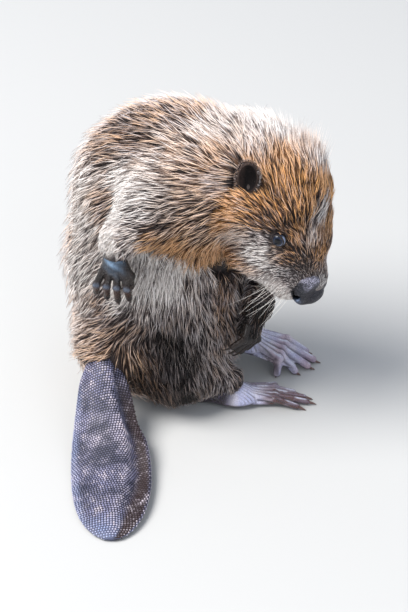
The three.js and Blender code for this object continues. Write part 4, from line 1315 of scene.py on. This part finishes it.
def build_ears():
    material, tree, shader, place = new_material("ear_skin", roughness=0.7, Specular_IOR_Level=0.15)
    inner = attribute(tree, "inner")
    colour = blend(tree, inner, linear("5A4A44"), linear("0A0809"))
    colour = blend(tree, noise(tree, place, 250), colour, linear("1B1515"))
    tree.links.new(colour, shader.inputs["Base Color"])
    bump(tree, shader, noise(tree, place, 1200, 3), 0.0003)
    for side in SIDES:
        axes = ear_axes(side)
        low, high = box_in(axes, EAR_REACH)
        outer_form, ear_form = ear_forms(axes)
        points, quads = field_mesh(ear_form, low, high, 0.55)
        aside = axes.inside(points)[:, 1] * SIDES[side]
        inner = smooth(-outer_form(points), 0.1, 0.7) * (1 - 0.65 * smooth(aside, 1, 4))
        ear = make_mesh(f"ear_{side}", points, quads, inner=inner)
        finish_piece(ear, material, "ear", f"ear_{side}")
        ear_fringe(side, axes, points, quads, inner)


def build_nose():
    """A broad pad with a swollen wing round each comma-shaped nostril, parted by a groove."""
    forms = [ball(on_nose(1.5, 0, -1), (6.0, 9.6, 7.0), head, 2)]
    wings = (
        (3.8, 8.0, -3.0, (5.6, 4.8, 5.0)),
        (6.5, 8.0, 1.8, (5, 4.2, 3.8)),
        (8.5, 12.8, 1.8, (4.8, 4.4, 4.6)),
        (5.0, 11.0, -0.6, (4.8, 4.4, 4.4)),
    )
    for back, side, up, radii in wings:
        forms += [ball(on_nose(back, side * s, up), radii, head, 2.0) for s in (1, -1)]
    forms.append(ball(on_nose(*NOSE_TOP), NOSE_TOP_RADII, head, 4.0))
    groove = rod(on_nose(-5.4, 0, 1), 0.4, on_nose(-3.4, 0, -8), 0.9, 1)
    field, uncarved = field_of(forms, [*nostrils(), groove]), field_of(forms)
    middle = on_head(5, NOSE_SIDE, 1)
    points, quads = field_mesh(field, middle - 19, middle + 19, 0.42)
    p = head.inside(points)
    # painted sheen on the pad's upper and front parts
    sheen = smooth(p[:, 2] + 0.5 * p[:, 0], -2.0, 4.0)
    # a painted highlight on the wet drop under one nostril
    pale = np.exp(-((np.linalg.norm(points - on_nose(3.2, 12.6, -1.2), axis=1) / 1.9) ** 2))
    mottled = np.sin(2.9 * p[:, 1] + 2 * np.sin(1.9 * p[:, 0]))
    mottled = mottled * np.sin(2.7 * p[:, 0] + 2 * np.sin(2.3 * p[:, 1]))
    # pale lavender mottled skin on top of the nose, partly its own colour and partly a painted sheen
    top = smooth(-p[:, 0], 4.5, 8.0) * smooth(p[:, 2], 3.2, 6.5) * smooth(-p[:, 1], -16, -12)
    top = top * (0.15 + 0.85 * smooth(mottled, -0.2, 0.4))
    # painted shade: the nostril canals are painted near black
    hole = smooth(-uncarved(points), 0.15, 0.6)
    layers = (("sheen", "4C4E58"), ("top", "D6D2E6"), ("hole", "010101"), ("pale", "A9BBDC"))
    shades = ("29272B", "3C383C", "070707")
    material = skin_material_of("nose_skin", 0.3, shades, 520, 0.0012, layers, Specular_IOR_Level=0.25)
    nose = make_mesh("nose", points, quads, sheen=0.3 * sheen, pale=pale, top=0.85 * top, hole=hole)
    finish_piece(nose, material, "bare_skin", "nose")


AROUND_EYE = np.arange(40) * 2 * math.pi / 40


def build_eyes():
    """Each eye with rings of colour around the line it looks along, with a painted reflection on its lower
    side, and its lids.
    """
    material, tree, shader, place = new_material("eye", roughness=0.05, IOR=1.4)
    ring = attribute(tree, "ring")
    # a black pupil in a blue-grey iris, whose blue is partly a painted reflection
    colour = blend(tree, remap(tree, ring, 0.3, 0.55), linear("05060B"), linear("1D2638"))
    # a pale crescent on the lower side: a painted reflection
    pale = sum_of(tree, remap(tree, ring, 0.56, 0.78), attribute(tree, "low"), "MULTIPLY")
    colour = blend(tree, pale, colour, linear("8790A8"))
    colour = blend(tree, remap(tree, ring, 0.95, 1.1), colour, linear("0B0908"))
    tree.links.new(colour, shader.inputs["Base Color"])
    lid_skin = skin_material_of("eyelid", 0.45, ("241C19", "352B27", "0E0A09"), 1500, 0.0002)
    for side, s in SIDES.items():
        gaze, radius = eye_axes(side), EYE_RADIUS * 0.99
        centre = gaze.origin
        ring = np.outer(np.cos(AROUND_EYE), gaze.side) + np.outer(np.sin(AROUND_EYE), gaze.up)
        steps = np.linspace(0, math.pi, 25)[1:-1]
        rings = [centre + radius * math.cos(a) * gaze.forward + radius * math.sin(a) * ring for a in steps]
        points, triangles = loft(rings, centre + radius * gaze.forward, centre - radius * gaze.forward)
        way = unit(points - centre)
        off_axis = np.arccos(np.clip(way @ gaze.forward, -1, 1))
        # the lower side of the eye, where the painted reflection goes
        low = smooth(way @ unit(head.way(0.75, 0, 0.15)), 0.0, 0.35)
        eye = make_mesh(f"eye_{side}", points, triangles, ring=off_axis, low=low)
        finish_piece(eye, material, "eye", f"eye_{side}")
        finish_piece(make_mesh(f"eyelids_{side}", *eyelids(gaze)), lid_skin, "bare_skin")


def eyelids(gaze):
    """A thin rim of skin around the opening, which is longer along the head. The upper lid is heavier."""
    rings = []
    for turn in AROUND_EYE:
        along, above = math.cos(turn), math.sin(turn)
        opening = math.hypot(0.76 * along, 0.58 * above)
        heavy = 0.15 + 0.85 * max(0.0, above)
        length, height = flat_against(head.forward, gaze.forward), flat_against(gaze.up, gaze.forward)
        way = unit(along * length + above * height)
        front = ((0, -0.5), (-0.01, 0.08), (0.04, 0.2 + 0.15 * heavy), (0.1, 0.25 + 0.3 * heavy))
        back = ((0.24, -0.1), (0.4, -1.2), (0.25, -1.6))
        rings.append([lid_point(gaze, way, opening + wider, rise) for wider, rise in front + back])
    return ring_loft(rings)


def lid_point(gaze, way, angle, height):
    direction = math.cos(angle) * gaze.forward + math.sin(angle) * way
    return gaze.origin + direction * (EYE_RADIUS + height)


WHISKER_ROWS, WHISKERS_IN_A_ROW = 3, 6


def build_whiskers():
    material = plain_material("whisker", "F4EEE6", 0.4)
    whiskers = []
    for s in (1, -1):
        for row, place in ((row, place) for row in range(WHISKER_ROWS) for place in range(WHISKERS_IN_A_ROW)):
            back, up = 9 + 3.0 * place + random.uniform(-1, 1), -3 - 3.4 * row + random.uniform(-1, 1)
            start = on_head(back, (13.5 + 0.3 * back) * s, up)
            way = unit(head.way(0.6 - 0.012 * back, 0.7 * s, -0.7) + 0.16 * random.normal(size=3))
            length = random.uniform(8, 36) * (1 - 0.15 * row)
            t = np.linspace(0, 1, 9)
            path = start - 2 * way + np.outer(length * t, way) - np.outer(0.14 * length * t**2, head.up)
            path += np.outer(0.10 * length * t**2, -head.forward)
            whiskers.append(tube(path, 0.18 * (1 - 0.8 * t), head.up, 5))
    finish_piece(make_mesh("whiskers", *joined(whiskers)), material, "bare_skin")


# ---------------------------------------------------------------- tail

TAIL_WIDTH, TAIL_THICK, TAIL_ROOT = 52, 7, 26
TAIL_STEM = 0.64  # the part of the length where the stem widens, before the paddle's round end
TAIL_PATH = np.array(
    [
        (-12, 25, 36),
        (-36, 23, 36),
        (-57, 19, 27),
        (-80, 13, 9),
        (-112, 4, 0.8),
        (-146, -4, 0.3),
        (-172, -10, 0.3),
    ],
    float,
)


def between(p, q, u, start, end):
    """The place between p, at start, and q, at end."""
    return p + (q - p) * (u - start) / (end - start)


def smooth_path(points, steps=40):
    """A Catmull-Rom curve through the points, as a function of the share of its length, and the length."""
    ends = np.vstack([2 * points[0] - points[1], points, 2 * points[-1] - points[-2]])
    dense = []
    for i in range(1, len(ends) - 2):
        a, b, c, d = ends[i - 1 : i + 3]
        knots = np.cumsum([0] + [np.linalg.norm(q - p) ** 0.5 for p, q in ((a, b), (b, c), (c, d))])
        k0, k1, k2, k3 = knots
        for u in np.linspace(k1, k2, steps, endpoint=False):
            ab, bc, cd = between(a, b, u, k0, k1), between(b, c, u, k1, k2), between(c, d, u, k2, k3)
            abc, bcd = between(ab, bc, u, k0, k2), between(bc, cd, u, k1, k3)
            dense.append(between(abc, bcd, u, k1, k2))
    dense = np.vstack(dense + [points[-1]])
    length = np.append(0, np.cumsum(np.linalg.norm(np.diff(dense, axis=0), axis=1)))

    def path(t):
        return np.stack([np.interp(t * length[-1], length, dense[:, k]) for k in range(3)], -1)

    return path, length[-1]


tail_path, TAIL_LENGTH = smooth_path(TAIL_PATH)


def tail_half_width(t):
    stem = (TAIL_ROOT + (TAIL_WIDTH - TAIL_ROOT) * smooth(t, 0, TAIL_STEM)) / 2
    past = np.abs((t - TAIL_STEM) / (1 - TAIL_STEM))
    paddle = TAIL_WIDTH / 2 * np.sqrt(np.maximum(0, 1 - past**2.4))
    return np.where(t < TAIL_STEM, stem, paddle)


def tail_reach(t, u):
    """The half width towards the edge that u leads to. Near the coat both edges draw in."""
    right = 0.3 * (1 - smooth(t, 0.12, 0.28))
    left = 0.5 * (1 - smooth(t, 0.14, 0.34)) + 0.12 * smooth(t, 0.2, 0.34) * (1 - smooth(t, 0.41, 0.52))
    return tail_half_width(t) * (0.985 - np.where(u < 0, right, left) * smooth(np.abs(u), 0, 0.6))


def tail_crest(t):
    """Where the blade's crest is, from -1 at one edge to 1 at the other."""
    return 0.12 + 0.24 * smooth(t, 0.2, 0.5) - 0.3 * smooth(t, 0.66, 0.95)


def tail_fold(t, u):
    """The blade's height: from one edge it climbs to a crest, drops steeply and curls up at the other."""
    crest = tail_crest(t)
    climb = np.sin(math.pi / 2 * np.clip((u + 1) / (crest + 1), 0, 1)) ** 0.9
    low = 0.2 + 0.3 * smooth(t, 0.75, 1)
    drop = 1 - (1 - low) * smooth(u, crest, crest + 0.3)
    curl = 0.35 * smooth(u, crest + 0.25, 1.0) * smooth(t, 0.4, 0.62)
    height = 10.7 * np.sin(math.pi * np.minimum(1, 0.9 * t + 0.1)) * smooth(t, 0, 0.42)
    return height * np.where(u < crest, climb, drop + curl)


def tail_point(t, angle):
    """A point of the tail's surface, with the angle around it: a quarter turn is the top."""
    t, angle = np.broadcast_arrays(np.asarray(t, float), np.asarray(angle, float))
    u, v = np.cos(angle), np.sin(angle)
    ahead = tail_path(np.minimum(t + 0.01, 1)) - tail_path(np.maximum(t - 0.01, 0))
    ahead[..., 2] = 0
    ahead = unit(ahead)
    across = np.stack([-ahead[..., 1], ahead[..., 0], np.zeros_like(t)], -1)
    flat = smooth(t, 0, 0.42)
    thick = (TAIL_ROOT * 0.8 * (1 - flat) + (TAIL_THICK - 1) * flat) * (1 - 0.5 * t)
    lift = tail_fold(t, u) + (thick / 2) * v * (1 - 0.45 * u * u) + thick / 2
    point = tail_path(t) + across * (u * tail_reach(t, u))[..., None]
    point[..., 2] = np.maximum(point[..., 2], 0.6) + lift
    return point


def scale_tree():
    """Plates on points: each faces along the point's own normal and leans back over the next one."""
    tree = bpy.data.node_groups.new("tail_scales", "GeometryNodeTree")
    for name, kind, default in (
        ("Geometry", "Geometry", None),
        ("Length", "Float", 1.75 * MM),
        ("Width", "Float", 1.85 * MM),
        ("Height", "Float", 0.6 * MM),
        ("Material", "Material", None),
    ):
        made = tree.interface.new_socket(name, in_out="INPUT", socket_type="NodeSocket" + kind)
        if default is not None:
            made.default_value = default
    tree.interface.new_socket("Geometry", in_out="OUTPUT", socket_type="NodeSocketGeometry")
    given = add(tree, "NodeGroupInput").outputs

    def named(name, kind):
        node = add(tree, "GeometryNodeInputNamedAttribute", {"Name": name}, data_type=kind)
        return node.outputs["Attribute"]

    turn = add(
        tree,
        "FunctionNodeAxesToRotation",
        {"Primary Axis": named("facing", "FLOAT_VECTOR"), "Secondary Axis": named("ahead", "FLOAT_VECTOR")},
        primary_axis="Z",
        secondary_axis="X",
    ).outputs[0]
    plate = add(
        tree,
        "GeometryNodeMeshCone",
        {"Vertices": 7, "Side Segments": 1, "Radius Top": 0.25, "Radius Bottom": 0.5, "Depth": 1.0},
    ).outputs["Mesh"]
    links = {0: given["Length"], 1: given["Width"], 2: given["Height"]}
    sizes = add(tree, "ShaderNodeCombineXYZ", links).outputs[0]
    links = {0: sizes, "Scale": named("size", "FLOAT")}
    scaled = add(tree, "ShaderNodeVectorMath", links, operation="SCALE").outputs[0]
    placed = add(
        tree,
        "GeometryNodeInstanceOnPoints",
        {"Points": given["Geometry"], "Instance": plate, "Rotation": turn, "Scale": scaled},
    ).outputs[0]
    real = add(tree, "GeometryNodeRealizeInstances", {"Geometry": placed}).outputs[0]
    links = {"Geometry": real, "Material": given["Material"]}
    finished = add(tree, "GeometryNodeSetMaterial", links).outputs[0]
    result = add(tree, "NodeGroupOutput")
    tree.links.new(finished, result.inputs[0])
    return tree


def run_tree(name, points, tree, values, **attributes):
    """The mesh that a tree makes from points, as an object of its own."""
    mesh = bpy.data.meshes.new(name + "_points")
    mesh.vertices.add(len(points))
    mesh.vertices.foreach_set("co", (points * MM).astype(np.float32).ravel())
    for key, data in attributes.items():
        data = np.asarray(data, np.float32)
        kind, field = ("FLOAT_VECTOR", "vector") if data.ndim == 2 else ("FLOAT", "value")
        mesh.attributes.new(key, kind, "POINT").data.foreach_set(field, data.ravel())
    carrier = bpy.data.objects.new(name + "_points", mesh)
    bpy.context.scene.collection.objects.link(carrier)
    modifier = carrier.modifiers.new("tree", "NODES")
    modifier.node_group = tree
    sockets = {s.name: s.identifier for s in tree.interface.items_tree if s.in_out == "INPUT"}
    for key, value in values.items():
        modifier[sockets[key]] = value
    bpy.context.view_layer.update()
    evaluated = carrier.evaluated_get(bpy.context.evaluated_depsgraph_get())
    made = bpy.data.objects.new(name, bpy.data.meshes.new_from_object(evaluated))
    bpy.context.scene.collection.objects.link(made)
    carrier.modifiers.clear()
    bpy.data.objects.remove(carrier)
    return made


PLATE_ROW, PLATE_PITCH = 1.7, 1.8  # from one row of plates to the next, and from plate to plate in a row
PLATES_START, PLATES_LENGTH = 0.12, 0.87  # as shares of the tail's length


def scale_points():
    """Plates in rows around the tail: their places, the ways they face and point, their sizes and marks.

    Each row is shifted by half a plate, and the plates are smaller near both ends of the tail.
    """
    rows = int(TAIL_LENGTH * PLATES_LENGTH / PLATE_ROW)
    angles = np.linspace(0, 2 * math.pi, 721)
    found = []
    for row in range(rows):
        t = PLATES_START + PLATES_LENGTH * row / (rows - 1)
        around = tail_point(t, angles)
        length = np.append(0, np.cumsum(np.linalg.norm(np.diff(around, axis=0), axis=1)))
        count = max(6, round(length[-1] / PLATE_PITCH))
        along_row = (np.arange(count) + 0.5 * (row % 2)) * length[-1] / count
        angle = np.interp(along_row, length, angles)
        here = tail_point(t, angle)
        beside = tail_point(t, angle + 0.01) - tail_point(t, angle - 0.01)
        beyond = tail_point(min(t + 0.004, 1), angle) - tail_point(t - 0.004, angle)
        normal = unit(np.cross(beyond, beside))
        normal *= np.sign(np.sum(normal * (here - tail_path(t) - (0, 0, 3)), -1, keepdims=True))
        edge = 1 - 0.25 * smooth(np.abs(np.cos(angle)), 0.85, 1) - 0.2 * (1 - smooth(t, 0.1, 0.3))
        size = edge * (1 - 0.25 * smooth(t, 0.9, 1)) * random.uniform(0.82, 1.1, count)
        turned = unit(unit(beyond) + 0.2 * random.normal(size=here.shape))
        facing = unit(normal - 0.16 * unit(beyond))
        columns = (here, facing, turned, size, tail_marks(t, np.cos(angle)))
        found.append([column[here[:, 2] > 1.0] for column in columns])
    return [np.concatenate(column) for column in zip(*found)]


def tail_marks(t, u):
    """How pale, how blue and how brown the tail is, at a place along it and across it, with painted
    highlights, painted shade and a painted reflection among them.
    """
    t, u = np.broadcast_arrays(np.asarray(t, float), np.asarray(u, float))
    gap = u - tail_crest(t)
    # a painted highlight along the left edge, which also gets a painted blue reflection
    rim = smooth(-u, 0.72, 0.97) * smooth(t, 0.2, 0.4)
    worn = np.exp(-(((t - 0.52) / 0.1) ** 2) - ((u + 0.15) / 0.4) ** 2)
    # pale: real wear, with a painted highlight along the crest
    pale = 0.35 * rim + 0.75 * worn + 0.3 * np.exp(-((gap / 0.16) ** 2)) * smooth(t, 0.3, 0.5)
    # the right lobe is browner, and painted darker as painted shade
    lobe = smooth(gap, 0.12, 0.45) * smooth(t, 0.2, 0.4)
    # a painted highlight on the right lobe's curled edge
    edge = smooth(u, 0.9, 0.99) * smooth(t, 0.4, 0.6)
    # blue: the painted reflection along the left edge, and the tip's own blue
    blue = np.maximum(0.8 * rim, smooth(t, 0.86, 0.99))
    return np.stack([pale + 0.6 * edge - 0.35 * lobe, blue, lobe * (1 - edge)], -1)


def tail_material(name, shades, roughness, wear_and_highlight_code="E0D4DC"):
    material, tree, shader, place = new_material(name, roughness)
    slow = noise(tree, place, 60, 3, 0.6)
    colour = blend(tree, remap(tree, slow, 0.35, 0.65), linear(shades[0]), linear(shades[1]))
    # the third shade is the blue, partly a painted reflection
    colour = blend(tree, attribute(tree, "blue"), colour, linear(shades[2]))
    colour = blend(tree, attribute(tree, "brown"), colour, linear(shades[3]))
    # worn plates and the painted highlights in pale both lighten towards the wear-and-highlight colour
    worn = remap(tree, noise(tree, place, 150, 3, 0.7), 0.42, 0.62)
    worn = sum_of(tree, worn, attribute(tree, "chance"), "MULTIPLY")
    worn = sum_of(tree, worn, attribute(tree, "pale"), clamp=True)
    worn = sum_of(tree, worn, remap(tree, slow, 0.35, 0.65, 0.1, 1.0), "MULTIPLY")
    colour = blend(tree, worn, colour, linear(wear_and_highlight_code))
    tree.links.new(colour, shader.inputs["Base Color"])
    bump(tree, shader, noise(tree, place, 1500, 2), 0.0002)
    return material


TAIL_RINGS, TAIL_AROUND = 72, 90


def build_tail():
    """The blade, and the plates that stand on it."""
    t = np.linspace(0, 0.995, TAIL_RINGS)
    turn = np.arange(TAIL_AROUND) * 2 * math.pi / TAIL_AROUND
    rings = tail_point(t[:, None], turn[None])
    first, last = rings[0].mean(0), tail_path(1.0) + (0, 0, 2.6)
    points, triangles = loft(rings, first, last)
    at_rings = np.append(np.repeat(t, TAIL_AROUND), (0, 1))
    marks = tail_marks(at_rings, np.append(np.tile(np.cos(turn), TAIL_RINGS), (0, 0)))
    pale, blue, brown = np.clip(marks.T, 0, 1)
    blade = make_mesh("tail", points, triangles, pale=0.3 * pale, blue=blue, brown=brown, chance=0 * pale)
    shades = ("232430", "32303D", "525872", "2E211F")
    finish_piece(blade, tail_material("tail_skin", shades, 0.5, "6E6680"), "tail_scales", "tail")
    places, facing, ahead, size, marks = scale_points()
    pale, blue, brown = np.clip(marks.T, 0, 1)
    shades = ("55566C", "9290AE", "A8B2D6", "43353A")
    material = tail_material("tail_scale", shades, 0.36)
    ways = {"facing": facing, "ahead": ahead, "size": size}
    marks = {"chance": random.random(len(places)), "pale": pale, "blue": blue, "brown": brown}
    scales = run_tree("scales", places, scale_tree(), {"Material": material}, **ways, **marks)
    scales.data.shade_smooth()
    finish_piece(scales, material, "tail_scales")


# ---------------------------------------------------------------- stage, light and camera

CAMERA_PLACE = (-0.930, -0.201, 0.701)
CAMERA_AIM = (0.0336, -0.0309, 0.0411)
LENS = 99.5
LAMPS_AIM = (0, 0, 0.1)
FLOOR_REACH = 4  # metres each way


def put(name, data, place, aim):
    """A lamp or a camera at its place, looking at aim."""
    made = bpy.data.objects.new(name, data)
    made.location = place
    made.rotation_euler = (Vector(aim) - Vector(place)).to_track_quat("-Z", "Y").to_euler()
    bpy.context.scene.collection.objects.link(made)
    return made


def soft_lamp(name, place, size, power, colour):
    lamp = bpy.data.lights.new(name, "AREA")
    lamp.shape, lamp.size, lamp.energy, lamp.color = "DISK", size, power, colour
    put(name, lamp, place, LAMPS_AIM)


def build_stage():
    corners = FLOOR_REACH * np.array([(-1, -1, 0), (1, -1, 0), (1, 1, 0), (-1, 1, 0)]) / MM
    floor = make_mesh("floor", corners, [(0, 1, 2, 3)])
    floor.data.materials.append(plain_material("pale_floor", "CBCAC7", 0.9))
    world = bpy.data.worlds.new("studio")
    world.use_nodes = True
    bpy.context.scene.world = world
    tree = world.node_tree
    tree.nodes.clear()
    seen = add(tree, "ShaderNodeLightPath").outputs["Is Camera Ray"]
    strength = remap(tree, seen, 0, 1, 0.62, 1.0)
    background = add(tree, "ShaderNodeBackground", {"Color": linear("E3ECFC"), "Strength": strength})
    out = add(tree, "ShaderNodeOutputWorld")
    tree.links.new(background.outputs[0], out.inputs[0])
    soft_lamp("key", (-0.8, 1.5, 2.3), 2.0, 120, (1, 0.99, 0.98))
    soft_lamp("fill", (-1.6, -1.2, 1.2), 1.6, 7, (0.9, 0.95, 1))
    bpy.context.scene.view_settings.view_transform = "Standard"


def build_camera():
    camera = bpy.data.cameras.new("camera")
    camera.lens, camera.sensor_width, camera.clip_end = LENS, 36, 20
    bpy.context.scene.camera = put("camera", camera, CAMERA_PLACE, CAMERA_AIM)


build_hands_and_feet()
build_ears()
build_nose()
build_eyes()
build_whiskers()
build_tail()
grow_coat()
build_camera()
build_stage()
